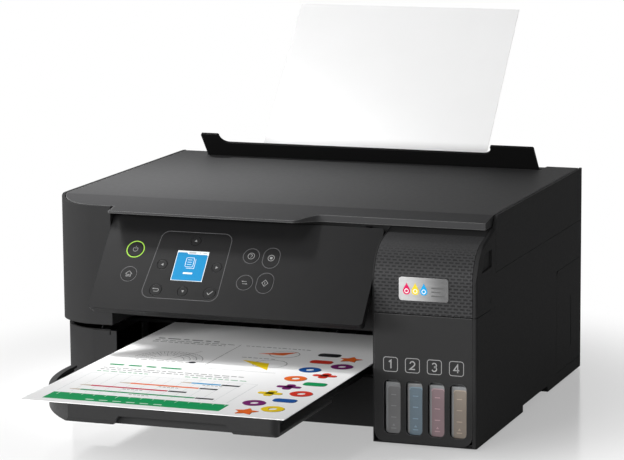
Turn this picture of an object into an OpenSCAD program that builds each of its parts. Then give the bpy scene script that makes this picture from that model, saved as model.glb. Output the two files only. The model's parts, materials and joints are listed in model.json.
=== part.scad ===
// Ink tank printer with scanner, control panel, rear paper feed and telescoping output tray.
// Millimetres. X runs to the right seen from the front, Y to the back, Z up.
// Inside the modules Y is measured back from the front of the tank unit; place() centres the footprint.

/* [Body] */
// Width over the side walls
body_w = 375; // [372:1:384]
// Depth from the front of the tank unit to the back of the rear cover
body_d = 347; // [347:1:356]
// Depth of the side walls
side_d = 322; // [322:1:326]
// Height of the closed lid
body_h = 177; // [177:1:186]
// Height of the joint between the base and the scanner unit
split_z = 132.7; // [131:0.1:134]
// Thickness of the moulded walls
wall = 2.6; // [2:0.1:3]
// Plan radius of the front left corner
corner_r = 40; // [34:1:42]
// Plan radius of the rear corners
rear_r = 10; // [6:1:14]
// Height of the rubber feet
foot_h = 2; // [1.5:0.1:3]

/* [Tank unit] */
// Width of the ink tank unit
tank_w = 84.4; // [83:0.2:88]
// Height of the joint under the tank cover
cover_z = 105.4; // [103:0.2:108]
// Radius of the bend at the top of the tank cover
cover_r = 30; // [26:1:32]
// Distance between two ink tanks
tank_pitch = 17.9; // [17.5:0.1:18.4]
// Width of a tank window
window_w = 13.7; // [11:0.1:15]
// Height of a tank window
window_h = 43.5; // [36:0.5:50]
// Radius of a tank filler cap
cap_r = 6.5; // [5:0.1:7.5]

/* [Control panel] */
// Length of the panel from its top edge to its bottom edge
panel_len = 87; // [84:0.5:88]
// Thickness of the panel
panel_t = 8; // [7:0.5:9]
// Angle of the tilted panel from upright
panel_tilt = 40; // [30:1:42]
// Radius of the power key
power_r = 6.4; // [5.5:0.1:6.8]
// Radius of a round key
key_r = 6.3; // [5:0.1:6.8]
// Key travel
key_travel = 0.8; // [0.5:0.1:1]

/* [Paper] */
// Sheet width
sheet_w = 210; // [208:1:212]
// Sheet length
sheet_l = 297; // [290:1:300]
// Sideways place of the paper's middle
sheet_x = -6; // [-8:0.5:-5]
// Height of the printed sheet on the tray
exit_z = 61.6; // [61:0.1:63]
// How far the output tray stands out in front of the tank unit
tray_out = 184; // [170:1:190]
// Angle of the rear feed from upright
feed_tilt = 41; // [40:0.5:42]

/* [Lid] */
// Depth of the sloping strip along the front of the lid
strip_d = 42; // [38:1:46]
// Drop of the sloping strip
strip_drop = 5.5; // [4:0.1:6]
// Depth of the notch for the rear feed, measured from the back of the side walls
notch_d = 28; // [28:1:30]
// Length of the feeder guard
guard_len = 32; // [28:0.5:34]

/* [Hidden] */
$fn = 48;
gap = 0.3;
fit = 0.05;
half_w = body_w / 2;
tank_x = half_w - tank_w;
tank_mid = tank_x + tank_w / 2 + 0.3;
left_in = 3.5;
column_w = 57.5;
column_x = -half_w + column_w;
column_y = 25;
column_z = 75;
fascia_y = 46;
rim_t = 2.8;
glass_z = body_h - 8.8;
slope = strip_drop / strip_d;
strip_y = 57;
overhang_y = strip_y - strip_d;
step_y = 34;
notch_x = 157;
notch_y = side_d - notch_d;
lid_axis_y = side_d - 8;
lid_axis_z = body_h - 6;
lid_knuckle = 6;
lift_r = 3.8;
lift_y = side_d - lift_r;
lift_z = split_z + lift_r;
pin_r = 2;
arm_x = 157.5;
panel_x0 = column_x + 0.5;
panel_x1 = tank_x - 0.8;
panel_mid = (panel_x0 + panel_x1) / 2;
panel_top_y = 32;
panel_top_z = 166;
tray_x0 = sheet_x - 114;
tray_x1 = sheet_x + 98;
tray_z = exit_z - 14.4;
shelf_z = tray_z - 3.5;
front_z = shelf_z - 1.5;
sheet_t = 0.4;
feed_y = 325;
feed_z = 188.4;
tray_step = 110;
roller_y = 112;
rail_y = 150;
rail_z = 112;
rail_r = 4;
belt_y = 190;
belt_r = 6;
scan_rail_z = split_z + 12;
scan_rail_y = 157;
scan_rail_r = 3;
guard_y = notch_y + 4.5;
guard_z = body_h - 3;
guard_lean = 40;
cover_axis_y = 6;
cover_axis_z = cover_z + 4.6;
hopper_low = -sheet_l / 2 + 2.5;
pickup_y = 234.6;
pickup_z = 105;
cover_rise = 16;
cover_mid_z = cover_z + 25.6;
cover_end = 50.4;
cheek_l = 1;
cheek_r = 3.4;
bezel_r = 1.6;
bezel_out = 12;
frame_l = -176;
frame_r = 178;
pulley_l = -162;
pulley_r = 168;
seam_z = cover_z - gap;
seam_w = 0.5;
seam_end = 38;
sight_y = 3.4;
wing_x = tray_x0 - 5.5;
sweep_r = 140;
sweep_y = 109;
ledge_w = 5;

// ---------- helpers ----------

// Moves a piece from front coordinates to the row frame.
module place() {
    translate([0, -body_d / 2, 0]) children();
}

// Box from its lowest corner to its highest corner.
module block(a, b) {
    translate(a) cube(b - a);
}

// Rectangle from corner a to corner b with rounded corners.
module round_rect(a, b, r) {
    translate([a[0] + r, a[1]]) square([b[0] - a[0] - 2 * r, b[1] - a[1]]);
    translate([a[0], a[1] + r]) square([b[0] - a[0], b[1] - a[1] - 2 * r]);
    for (x = [a[0] + r, b[0] - r], y = [a[1] + r, b[1] - r]) translate([x, y]) circle(r);
}

// Plate in the XZ plane from y0 to y1.
module upright(y0, y1) {
    translate([0, y1, 0]) rotate([90, 0, 0]) linear_extrude(y1 - y0) children();
}

// Extrudes a (Y, Z) outline along X from x0 to x1.
module along_x(x0, x1) {
    translate([x0, 0, 0]) rotate([90, 0, 90]) linear_extrude(x1 - x0) children();
}

// Cylinder along X.
module rod_x(x0, x1, y, z, r) {
    translate([x0, y, z]) rotate([0, 90, 0]) cylinder(h = x1 - x0, r = r);
}

// Cylinder along Y.
module rod_y(y0, y1, x, z, r) {
    translate([x, y0, z]) rotate([-90, 0, 0]) cylinder(h = y1 - y0, r = r);
}

// Frame of the rear feed: Z runs up along the paper, Y points behind it.
module feed_frame() {
    translate([0, feed_y, feed_z]) rotate([-feed_tilt, 0, 0]) children();
}

// Frame of the control panel: X to the right, Y up along the face, Z out of the face.
module panel_frame() {
    translate([0, panel_top_y, panel_top_z]) rotate([90 - panel_tilt, 0, 0]) children();
}

// ---------- base ----------

// Plan outline of the base, drawn in by d all round.
module base_plan(d) {
    r_front = corner_r - left_in - d;
    x0 = -half_w + left_in + d;
    x1 = half_w - d;
    y1 = side_d - d;
    difference() {
        union() {
            translate([x0, fascia_y - 1 + d]) square([x1 - x0, y1 - fascia_y + 1 - d]);
            translate([x0, column_y + 5 + d]) square([column_x + 2 - d - x0, 30]);
            translate([tank_x + d, d]) square([x1 - tank_x - d, 60]);
        }
        translate([x0, column_y + 5 + d]) corner_cut(r_front);
        translate([x0, y1]) mirror([0, 1]) corner_cut(rear_r - d);
        translate([x1, y1]) mirror([1, 0]) mirror([0, 1]) corner_cut(rear_r - d);
    }
    round_rect([-notch_x + 1 + d, side_d - 20], [notch_x - 1 - d, body_d - d], 5);
}

// What a rounding of radius r takes away from a corner that opens to +X and +Y.
module corner_cut(r) {
    difference() {
        translate([-1, -1]) square(r + 1);
        translate([r, r]) circle(r, $fn = 96);
    }
}

module base_housing() color([0.13, 0.13, 0.135]) place() difference() {
    union() {
        difference() {
            translate([0, 0, foot_h]) linear_extrude(split_z - gap - foot_h) base_plan(0);
            translate([0, 0, foot_h - 1]) linear_extrude(split_z) base_plan(wall);
        }
        block([column_x - 1, fascia_y - 1, foot_h], [tank_x + 1, fascia_y + wall, front_z]);
        bay_wall();
        cover_cheeks();
        block([half_w - 14.6, 129, foot_h], [half_w - 0.5, 208, 9.8]);
    }
    // front of the base is low under the scanner column, the tray mouth and the tank cover
    block([-half_w - 1, 0, 70], [column_x + 3, column_y + 63, split_z + 1]);
    block([column_x - 4, 0, front_z], [tank_x - 0.01, fascia_y + 3, split_z + 1]);
    block([column_x - 4, fascia_y, shelf_z + 3.5], [column_x + 5, 92, split_z + 1]);
    // the tank bay is open at the front, where its panel goes in
    block([tank_x + 0.9, -1, foot_h + 1], [half_w - 3.4, 10, cover_z + 20]);
    block([tank_x + cheek_l, -1, cover_z - gap], [half_w - cheek_r, 51, 200]);
    along_x(tank_x - 1, half_w + 1) difference() {
        translate([-1, cover_z - gap + 0.01]) square([cover_end + 1, 120]);
        cover_profile(0);
    }
    // seam between the tank cover and the side wall, with a small slot over its back end
    along_x(half_w - 1, half_w + 1) {
        translate([-1, seam_z]) square([seam_end + 1, seam_w]);
        translate([seam_end - 0.6, seam_z + 5]) square([1.2, 4.5]);
    }
    // pivot holes of the tank cover
    rod_x(tank_x + 0.5, tank_x + 3, cover_axis_y, cover_axis_z, 1.5 + fit);
    rod_x(half_w - cheek_r - 1, half_w - 1, cover_axis_y, cover_axis_z, 1.5 + fit);
    // finger recess high on the right wall
    along_x(half_w - 1.6, half_w + 1) polygon([[14, 138], [40, 139], [40, 153], [19, 152]]);
    bezel_cut();
    // hand grip along the bottom of the right wall
    block([half_w - 12, 131, -1], [half_w + 1, 205, 7.5]);
    block([half_w - 6, 204, -1], [half_w + 1, 207.4, 6]);
    // window of the side access cover
    block([half_w - wall - 1, 233, 12], [half_w + 1, 310, 100.4]);
    // rear cover opening
    block([-120, side_d + 3, 18], [120, body_d + 1, 118]);
    // power inlet and data socket in the rear wall
    block([-half_w + 14, side_d - wall - 1, 22], [-half_w + 36, side_d + 1, 40]);
    block([half_w - 30, side_d - wall - 1, 30], [half_w - 17, side_d + 1, 42]);
    // ventilation slots of the power supply
    for (i = [0 : 5]) block([-half_w, 250 + 8 * i, 22], [-half_w + 10, 253 + 8 * i, 52]);
    // the wall between the body and the rear cover bulge is open for the feed
    block([-notch_x + 4, side_d - 12, foot_h + 30], [notch_x - 4, side_d + 5, split_z + 1]);
}

// Floor pan with its ribs, and the shelf that carries the output tray.
module base_floor() color([0.12, 0.12, 0.125]) place() difference() {
    y0 = fascia_y + wall + gap;
    union() {
        translate([0, 0, foot_h]) linear_extrude(wall) base_plan(wall + gap);
        block([tray_x0 - 6, y0, shelf_z - 2.5], [tray_x1 + 6, 200, shelf_z]);
        for (x = [tray_x0 - 6, tray_x1 + 3.5]) block([x, y0, shelf_z - 1], [x + 2.5, 200, shelf_z + 3]);
        for (x = [-100, -20, 60]) block([x, y0, foot_h + 1], [x + 2, 196, shelf_z - 1]);
        for (x = [-60, 60]) block([x - 1, 205, foot_h + 1], [x + 1, 222, 40]);
    }
    // room for the hand grip of the right wall and for the walls around the tanks
    block([half_w - 14.9, 128.7, foot_h - 1], [half_w + 1, 208.3, foot_h + wall + 1]);
    block([tank_x - gap, -1, foot_h - 1], [tank_x + 2 + gap, 92 + gap, foot_h + wall + 1]);
    block([tank_x - gap, 90 - gap, foot_h - 1], [half_w + 1, 92 + gap, foot_h + wall + 1]);
    block([column_x - 2, fascia_y - 3, foot_h - 1], [tank_x + 1, y0, foot_h + wall + 1]);
}

// Wall between the paper path and the ink tanks.
module bay_wall() {
    block([tank_x, 0, foot_h], [tank_x + 2, 92, split_z - gap]);
    difference() {
        block([tank_x, 90, foot_h], [half_w, 92, 60]);
        for (i = [0 : 3]) rod_y(89, 93, tank_place(i), 14, 2.7);
    }
}

// Side walls of the tank unit, following the cover, and the left pivot boss.
module cover_cheeks() {
    along_x(tank_x, tank_x + cheek_l) cover_profile(0);
    along_x(half_w - cheek_r, half_w) cover_profile(0);
    rod_x(tank_x + cheek_l - 0.2, tank_x + 2, cover_axis_y, cover_axis_z, 3.2);
}

// What the rounded outer edge of the right wall takes away: up the front and along the slope, running out on the bend.
module bezel_cut() {
    translate([half_w, 0, -1]) mirror([1, 0, 0]) linear_extrude(cover_mid_z + 1 + bezel_out) corner_cut(bezel_r);
    translate([half_w, cover_r, cover_mid_z]) rotate([cover_rise, 0, 0]) translate([0, -bezel_out, cover_r])
        rotate([-90, 0, 0]) linear_extrude(60 + bezel_out) mirror([1, 0]) corner_cut(bezel_r);
}

module rubber_feet() color([0.05, 0.05, 0.05]) place() {
    for (x = [-half_w + 35, half_w - 30], y = [70, side_d - 30]) {
        translate([x, y, 0]) cylinder(h = foot_h, r = 8);
    }
    // support under the middle of the floor
    translate([0, body_d / 2, 0]) cylinder(h = foot_h, r = 8);
}

module left_front_cover() color([0.14, 0.14, 0.145]) place() {
    translate([0, column_y + 5 - 1.4, 0]) {
        block([-half_w + 38, 0, 41], [column_x - 4.2, 1.4, 69.5]);
        block([column_x - 3.4, 0, 41], [column_x + 1.8, 1.4, 69.5]);
        block([-half_w + 38, 0, 41], [column_x + 1.8, 0.7, 66]);
    }
}

// Outline of one tank window, centred on x = 0.
module window_outline(grow) {
    round_rect([-window_w / 2 - grow, 9.2 - grow], [window_w / 2 + grow, 9.2 + window_h + grow], 4.5);
}

module tank_front_panel() color([0.16, 0.16, 0.165]) place() {
    x0 = tank_x + 1.1;
    x1 = half_w - 3.6;
    difference() {
        upright(0, 2.5) difference() {
            union() {
                round_rect([x0, foot_h + 1.2], [x1, 60], 8);
                translate([x0, 30]) square([x1 - x0, cover_z - gap - 30]);
            }
            for (i = [0 : 3]) translate([tank_place(i), 0]) window_outline(0);
        }
        // top edge falls away behind, clear of the swinging cover
        along_x(x0 - 1, x1 + 1) polygon([[0, cover_z - gap + 0.01], [3, cover_z - gap - 3], [3, cover_z + 1]]);
    }
    // flanges behind the sides and clips above and below the windows
    for (x = [x0, x1 - 1.6]) block([x, 2.4, 14], [x + 1.6, 9, cover_z - 8]);
    for (i = [0 : 2]) block([tank_place(i) + tank_pitch / 2 - 0.6, 2.4, 14],
        [tank_place(i) + tank_pitch / 2 + 0.6, 3.6, 90]);
}

function tank_place(i) = tank_mid + (i - 1.5) * tank_pitch;

module side_access_cover() color([0.13, 0.13, 0.135]) place() {
    difference() {
        translate([half_w, 0, 0]) rotate([90, 0, -90]) linear_extrude(wall)
            difference() {
                translate([-309.7, 12.3]) square([76.4, 87.8]);
                translate([-233.3, 100.1]) rotate(180) corner_cut(6);
                translate([-280.3, 28]) square([1.2, 44]);
            }
    }
}

module rear_cover() color([0.12, 0.12, 0.125]) place() {
    upright(body_d - wall, body_d) difference() {
        round_rect([-119.7, 18.3], [119.7, 117.7], 3);
        for (x = [-100, 100]) translate([x, 68]) round_rect([-9, -14], [9, 14], 4);
    }
    for (x = [-100, 100]) {
        upright(body_d - 8, body_d - 6) translate([x, 68]) round_rect([-10, -15], [10, 15], 4);
        for (s = [-1, 1]) block([x + s * 9.8 - 0.8, body_d - 7, 53], [x + s * 9.8 + 0.8, body_d - 1, 83]);
    }
    for (z = [40, 68, 96]) block([-84, body_d - 9, z - 1], [84, body_d - wall + 0.1, z + 1]);
}

// ---------- rear feed ----------

module feeder_housing() color([0.11, 0.11, 0.115]) place() {
    difference() {
        union() {
            intersection() {
                feed_frame() block([-151.5, 0.7, hopper_low - 4], [151.5, 2.2, -19]);
                block([-200, 200, 60], [200, body_d, 171]);
            }
            feed_frame() block([-151.5, -8, hopper_low - 4], [151.5, 2.2, hopper_low - 0.3]);
            for (m = [0, 1]) mirror([m, 0, 0]) cheek();
            block([-153, 338, 168], [153, body_d, 171]);
            block([-153, 338, split_z], [153, 340.5, 171]);
            block([-153, body_d - wall, split_z], [153, body_d, 171]);
        }
        for (x = [-95, 83]) feed_frame() block([x - 18, 0, -80], [x + 18, 3, -76]);
    }
}

// Side plate of the rear feed with the pivot pin of the scanner unit.
module cheek() {
    along_x(150, 153) difference() {
        polygon([
            [219, 62], [240, 58], [298, 56], [310, 46], [body_d - 7, 46], [body_d - 7, split_z],
            [body_d, split_z], [body_d, 171], [309, 171], [275, 130], [248, 114], [219, 114]
        ]);
        translate([300, 90]) circle(20);
        translate([pickup_y, pickup_z]) circle(3 + fit);
    }
    rod_x(152, 166, lift_y, lift_z, pin_r);
    rod_x(152, arm_x - gap, lift_y, lift_z, 3.2);
    block([150, 326, foot_h + wall], [153, 340, 47]);
}

module paper_support() color([0.1, 0.1, 0.105]) place() feed_frame() {
    difference() {
        translate([sheet_x, 5, 0]) rotate([90, 0, 0]) linear_extrude(2.5) difference() {
            round_rect([-75, -60], [75, 70], 6);
            round_rect([-20, 44], [20, 62], 4);
            for (x = [-55, 55]) translate([x, -10]) round_rect([-6, -38], [6, 60], 4);
        }
    }
    // channels that hold the extension
    for (s = [-1, 1]) {
        block([sheet_x + s * 42.5 - 1.2, 5, -50], [sheet_x + s * 42.5 + 1.2, 8, 66]);
    }
}

module support_extension() color([0.1, 0.1, 0.105]) place() feed_frame() {
    translate([sheet_x, 7.4, 0]) rotate([90, 0, 0]) linear_extrude(2.1) difference() {
        round_rect([-41, 10], [41, 138], 8);
        round_rect([-22, 92], [22, 122], 6);
    }
}

module edge_guide(s) {
    edge = sheet_x + s * (sheet_w / 2 + gap);
    along = [edge, edge + s * 2];
    color([0.12, 0.12, 0.125]) place() feed_frame() {
        block([min(along), -5, -60], [max(along), 0.4, -27]);
        block([min(edge, edge + s * 14), -0.9, -58], [max(edge, edge + s * 14), 0.4, -28]);
        block([min(edge + s * 6, edge + s * 10), -4, -50], [max(edge + s * 6, edge + s * 10), -0.8, -38]);
    }
}

module edge_guide_left() edge_guide(-1);

module edge_guide_right() edge_guide(1);

module blank_sheet() color([0.96, 0.96, 0.96]) place() feed_frame()
    block([sheet_x - sheet_w / 2, 0, 151 - sheet_l], [sheet_x + sheet_w / 2, sheet_t, 151]);

module printed_sheet() color([0.97, 0.97, 0.97]) place()
    block([sheet_x - sheet_w / 2, -tray_out - 2, exit_z], [sheet_x + sheet_w / 2, sheet_l - tray_out - 2, exit_z + sheet_t]);

// ---------- output tray ----------

module output_tray() color([0.1, 0.1, 0.105]) place() {
    z0 = shelf_z + gap;
    difference() {
        union() {
            block([tray_x0 + 12, 110 - tray_out, z0], [tray_x1 - 10, 85, z0 + 2]);
            for (x = [tray_x0 + 12, tray_x1 - 12.5]) block([x, 110 - tray_out, z0], [x + 2.5, 85, z0 + 2.7]);
        }
        for (i = [0 : 6]) translate([0, 0, z0 - 1]) linear_extrude(5)
            round_rect([-86 + 24 * i, -50], [-76 + 24 * i, 60], 4);
        translate([sheet_x, 110 - tray_out, z0 - 1]) cylinder(h = 5, r = 16);
    }
}

// Plan outline of the tray extension, drawn in by d: a wide sweep at the front left corner.
module tray_plan(d) {
    y0 = -tray_out + d;
    difference() {
        intersection() {
            translate([wing_x + d, y0]) square([tray_x1 - wing_x - 2 * d, tray_out - 65 - d]);
            union() {
                translate([wing_x + sweep_r, -tray_out + sweep_y]) circle(sweep_r - d, $fn = 200);
                translate([wing_x, -tray_out + sweep_y]) square([tray_x1 - wing_x, tray_out]);
                translate([wing_x + sweep_r, -tray_out]) square([tray_x1, tray_out]);
            }
        }
        translate([tray_x1 - d, y0]) mirror([1, 0]) corner_cut(max(6 - d, 1));
    }
}

module tray_extension() color([0.1, 0.1, 0.105]) place() difference() {
    z0 = shelf_z + 3.3;
    wall_top = exit_z - gap;
    union() {
        translate([0, 0, z0]) linear_extrude(2.2) tray_plan(0);
        // raised left wall and front lip, and the ledge under the left edge of the sheet
        intersection() {
            union() {
                difference() {
                    translate([0, 0, z0]) linear_extrude(wall_top - z0) tray_plan(0);
                    translate([0, 0, z0 + 2]) linear_extrude(20) tray_plan(2.4);
                }
                difference() {
                    translate([0, 0, wall_top - 2]) linear_extrude(2) tray_plan(0.5);
                    translate([0, 0, wall_top - 3]) linear_extrude(4) tray_plan(ledge_w);
                }
            }
            union() {
                block([wing_x - 1, -tray_out - 1, 0], [wing_x + 62, -65, 100]);
                block([wing_x - 1, -tray_out - 1, 0], [tray_x1 + 1, -tray_out + 8, 100]);
            }
        }
        // sloping ramp behind the lip
        along_x(wing_x + 62, tray_x1 - 8) polygon([[2 - tray_out, z0 + 1], [40 - tray_out, z0 + 1],
            [12 - tray_out, wall_top - 0.6], [2 - tray_out, wall_top - 0.6]]);
    }
    // finger arch under the lip
    translate([sheet_x + 16, 0, 0]) upright(-tray_out - 1, -tray_out + 7)
        polygon([[-48.5, z0 - 1], [48.5, z0 - 1], [42.4, z0 + 7.2], [-42.4, z0 + 7.2]]);
    // lower edge of the lip is bevelled
    along_x(wing_x - 1, tray_x1 + 1)
        polygon([[-tray_out - 1, z0 - 1], [-tray_out - 1, z0 + 4.5], [-tray_out + 3.5, z0 - 1]]);
    // slots that save weight
    for (i = [0 : 5]) translate([0, 0, z0 - 1]) linear_extrude(5)
        round_rect([-78 + 24 * i, -125], [-68 + 24 * i, -80], 4);
}

// ---------- tank unit ----------

// Height of the cover's outer surface over the place y on its slope.
function cover_top(y) = cover_mid_z + cover_r * cos(cover_rise)
    + (y - cover_r + cover_r * sin(cover_rise)) * tan(cover_rise);

// Side profile of the tank cover in Y and Z, drawn in by d and ending at y.
module cover_shape(d, y) {
    r = cover_r - d;
    intersection() {
        union() {
            translate([cover_r, cover_mid_z]) circle(r, $fn = 120);
            polygon([
                [d, cover_z], [d, cover_mid_z], [cover_r, cover_mid_z],
                [cover_r - r * sin(cover_rise), cover_mid_z + r * cos(cover_rise)],
                [y, cover_top(y) - d / cos(cover_rise)], [y, cover_z]
            ]);
        }
        translate([d, 0]) square([y - d, cover_top(y) + 1]);
    }
}

module cover_profile(d) {
    intersection() {
        cover_shape(d, cover_end);
        translate([d, cover_z - gap]) square([cover_end, 100]);
    }
}

module tank_cover() color([0.13, 0.13, 0.135]) place() {
    x0 = tank_x + cheek_l + gap;
    x1 = half_w - cheek_r - gap;
    skin = 2.4;
    back = step_y - gap;
    difference() {
        union() {
            along_x(x0, x1) difference() {
                cover_shape(0, back);
                translate([0, 0.01]) cover_shape(skin, back + 1);
                translate([skin, 0]) square([60, cover_z + 1]);
                translate([-1, 0]) square([70, cover_z + gap]);
            }
            // ribs across the inside and ears with the pivot pins
            for (x = [x0 + 26, x1 - 27.4]) along_x(x, x + 1.4) difference() {
                cover_shape(skin - 0.2, back - 3);
                cover_shape(skin + 3, back + 1);
                translate([-1, 0]) square([70, cover_z + 8]);
            }
        }
    }
    for (x = [tank_x + 2 + gap, x1 - 3]) along_x(x, x + 3) {
        translate([cover_axis_y, cover_axis_z]) circle(3);
        translate([skin - 0.2, cover_axis_z - 3]) square([cover_axis_y - skin + 0.2, 6]);
    }
    rod_x(tank_x + 0.8, tank_x + 3, cover_axis_y, cover_axis_z, 1.5);
    rod_x(x1 - 1, half_w - 1.4, cover_axis_y, cover_axis_z, 1.5);
}

module badge_plate() color([0.72, 0.72, 0.72]) place()
    upright(-0.6, -0.02) round_rect([tank_x + 21.6, 116.5], [tank_x + 61.8, 135], 2.4);

module ink_tanks() color([0.75, 0.77, 0.78, 0.6]) place() {
    for (i = [0 : 3]) translate([tank_place(i), 0, 0]) difference() {
        union() {
            block([-8.1, sight_y + 4.6, foot_h + wall + 0.2], [8.1, 78, 92]);
            sight_bar();
            translate([0, 26, 91]) cylinder(h = 6, r = 5.2);
            rod_y(77, 84, 0, 14, 2.4);
        }
        block([-6.9, sight_y + 6, 7.6], [6.9, 76.6, 90.4]);
        translate([0, 26, 88]) cylinder(h = 10, r = 3.4);
    }
    ink_tubes();
}

// Front of a tank that shows its level through the window, with a rounded top edge.
module sight_bar() {
    r = 1.2;
    top = 9.2 + window_h - 2.4;
    along_x(-6.2, 6.4) {
        translate([sight_y, 5.6]) square([5.6, top - r - 5.6]);
        translate([sight_y + r, 5.6]) square([5.6 - r, top - 5.6]);
        translate([sight_y + r, top - r]) circle(r);
    }
}

// Outlet tubes behind the tanks, their joining block and the risers to the print head's side.
module ink_tubes() {
    for (i = [0 : 3]) rod_y(84 + gap, 95, tank_place(i), 14, 1.6);
    block([tank_place(0) - 4, 94, 10], [tank_place(3) + 4, 104, 18]);
    for (i = [0 : 3]) translate([tank_place(3) - 8 * i, 99, 17.5]) cylinder(h = 77, r = 1.6);
    block([tank_place(3) - 28, 95, 94], [tank_place(3) + 4, 103, 102]);
}

// Lever cap over a tank filler.
module tank_cap(i) color([0.12, 0.12, 0.125]) place() translate([tank_place(i), 26, 97.3]) {
    difference() {
        cylinder(h = 4.4, r = cap_r);
        translate([0, 0, -1]) cylinder(h = 3.4, r = cap_r - 1.4);
    }
    block([-3.2, cap_r - 1, 1.6], [3.2, 12.4, 4.4]);
    rod_x(-3.2, 3.2, 12.4, 2.9, 1.5);
}

module tank_cap_1() tank_cap(0);

module tank_cap_2() tank_cap(1);

module tank_cap_3() tank_cap(2);

module tank_cap_4() tank_cap(3);

// ---------- print mechanism ----------

module main_frame() color([0.66, 0.67, 0.68]) place() difference() {
    union() {
        block([frame_l, 199.5, 75], [frame_r + 1.5, 201, 124]);
        block([frame_l, 199.5, 122.5], [frame_r + 1.5, 212, 124]);
        rod_y(belt_y - 5, 200, pulley_l, rail_z, 2);
        rod_y(197.8, 200, pulley_l, rail_z, 5);
        for (x = [frame_l, frame_r]) {
            block([x, 104, 45], [x + 1.5, 201, 124]);
            block([x, 104, foot_h + wall], [x + 1.5, 116, 46]);
            block([x, 188, x > 0 ? 9.9 : foot_h + wall], [x + 1.5, 201, 46]);
        }
    }
    for (x = [frame_l, frame_r]) {
        rod_x(x - 1, x + 3, 180, 57, 3.05);
        rod_x(x - 1, x + 3, rail_y, rail_z, rail_r + fit);
    }
    for (i = [0 : 9]) block([-150 + 32 * i, 198, 96], [-130 + 32 * i, 202, 104]);
    block([164, 199, 103], [176, 202, 121]);
}

module carriage_rail() color([0.8, 0.8, 0.82]) place()
    rod_x(frame_l - 1, frame_r + 2.5, rail_y, rail_z, rail_r);

module drive_belt() color([0.08, 0.08, 0.08]) place() difference() {
    belt_ring(belt_r + gap + 1.5, 0);
    belt_ring(belt_r + gap, 1);
}

// Stadium between the two pulleys, longer by d at both faces.
module belt_ring(r, d) {
    for (x = [pulley_l, pulley_r]) rod_y(belt_y - 3 - d, belt_y + 3 + d, x, rail_z, r);
    block([pulley_l, belt_y - 3 - d, rail_z - r], [pulley_r, belt_y + 3 + d, rail_z + r]);
}

// Toothed belt pulley with a centre bore.
module pulley(x, bore) color([0.7, 0.7, 0.7]) place() difference() {
    upright(belt_y - 3.6, belt_y + 3.6) translate([x, rail_z])
        polygon([for (a = [0 : 20 : 340], c = [[-8, 0.7], [-4.8, 0], [4.8, 0], [8, 0.7]])
            (belt_r - c[1]) * [cos(a + c[0]), sin(a + c[0])]]);
    rod_y(belt_y - 5, belt_y + 5, x, rail_z, bore);
}

module drive_pulley() pulley(pulley_r, 1.5 + fit);

module idler_pulley() pulley(pulley_l, 2 + fit);

module carriage_motor() color([0.6, 0.6, 0.62]) place() {
    rod_y(202.3, 228, pulley_r, rail_z, 10.5);
    rod_y(belt_y - 5, 203, pulley_r, rail_z, 1.5);
    difference() {
        block([pulley_r - 12, 201.2, rail_z - 11], [pulley_r + 9, 202.4, rail_z + 9]);
        for (s = [-1, 1]) rod_y(200, 204, pulley_r + 8 * s - 1.5, rail_z - 8, 1.2);
    }
}

module platen() color([0.1, 0.1, 0.1]) place() {
    difference() {
        union() {
            block([frame_l + 1.7, 152, 51.3], [frame_r - 0.2, 168, 54]);
            block([sheet_x - 109, 124, 51.3], [sheet_x + 109, 168, 54]);
            for (x = [sheet_x - 109, sheet_x + 107]) {
                block([x, 104, 51.3], [x + 2, 168, 60.6]);
            }
            for (i = [0 : 12]) block([sheet_x - 102 + 17 * i - 0.8, 128, 53], [sheet_x - 102 + 17 * i + 0.8, 166, exit_z - 1.6]);
        }
        rod_x(sheet_x - 112, sheet_x + 112, roller_y, exit_z - 5.3, 2.5 + fit);
    }
}

module capping_station() color([0.16, 0.16, 0.17]) place() difference() {
    union() {
        block([119, 122, 54.2], [162, 166, 61]);
        block([124, 128, 60.5], [157, 160, 64.5]);
        for (x = [121, 158]) block([x, 122, foot_h + wall], [x + 3, 134, 55]);
    }
    block([126, 130, 62], [155, 158, 66]);
}

module feed_roller() color([0.35, 0.35, 0.36]) place() {
    rod_x(frame_l - 2.5, frame_r + 3.5, 180, 57, 3);
    rod_x(sheet_x - 108, sheet_x + 108, 180, 57, 4.2);
    for (i = [0 : 5]) rod_x(sheet_x - 96 + 36 * i, sheet_x - 84 + 36 * i, 180, 57, 4.55);
    gear(frame_l + 1.8, frame_l + 5.8, 180, 57, 10.5, 24);
}

// Spur gear along X with n teeth.
module gear(x0, x1, y, z, r, n) {
    rod_x(x0, x1, y, z, r - 1.2);
    for (i = [0 : n - 1]) translate([x0, y, z]) rotate([i * 360 / n, 0, 0])
        block([0, -0.55, r - 2], [x1 - x0, 0.55, r]);
}

module exit_roller() color([0.35, 0.35, 0.36]) place() {
    rod_x(sheet_x - 109.5, sheet_x + 109.5, roller_y, exit_z - 5.3, 2.5);
    for (i = [0 : 5]) rod_x(sheet_x - 97 + 36 * i, sheet_x - 87 + 36 * i, roller_y, exit_z - 5.3, 5);
}

module pickup_roller() color([0.3, 0.3, 0.31]) place() {
    y = pickup_y;
    z = pickup_z;
    rod_x(-152.6, 152.6, y, z, 3);
    for (x = [sheet_x - 30, sheet_x + 30]) {
        difference() {
            rod_x(x - 10, x + 10, y, z, 13);
            for (a = [0 : 60 : 300]) translate([x, y, z]) rotate([a, 0, 0]) rod_x(-11, 11, 8, 0, 2.2);
        }
    }
}

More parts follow.
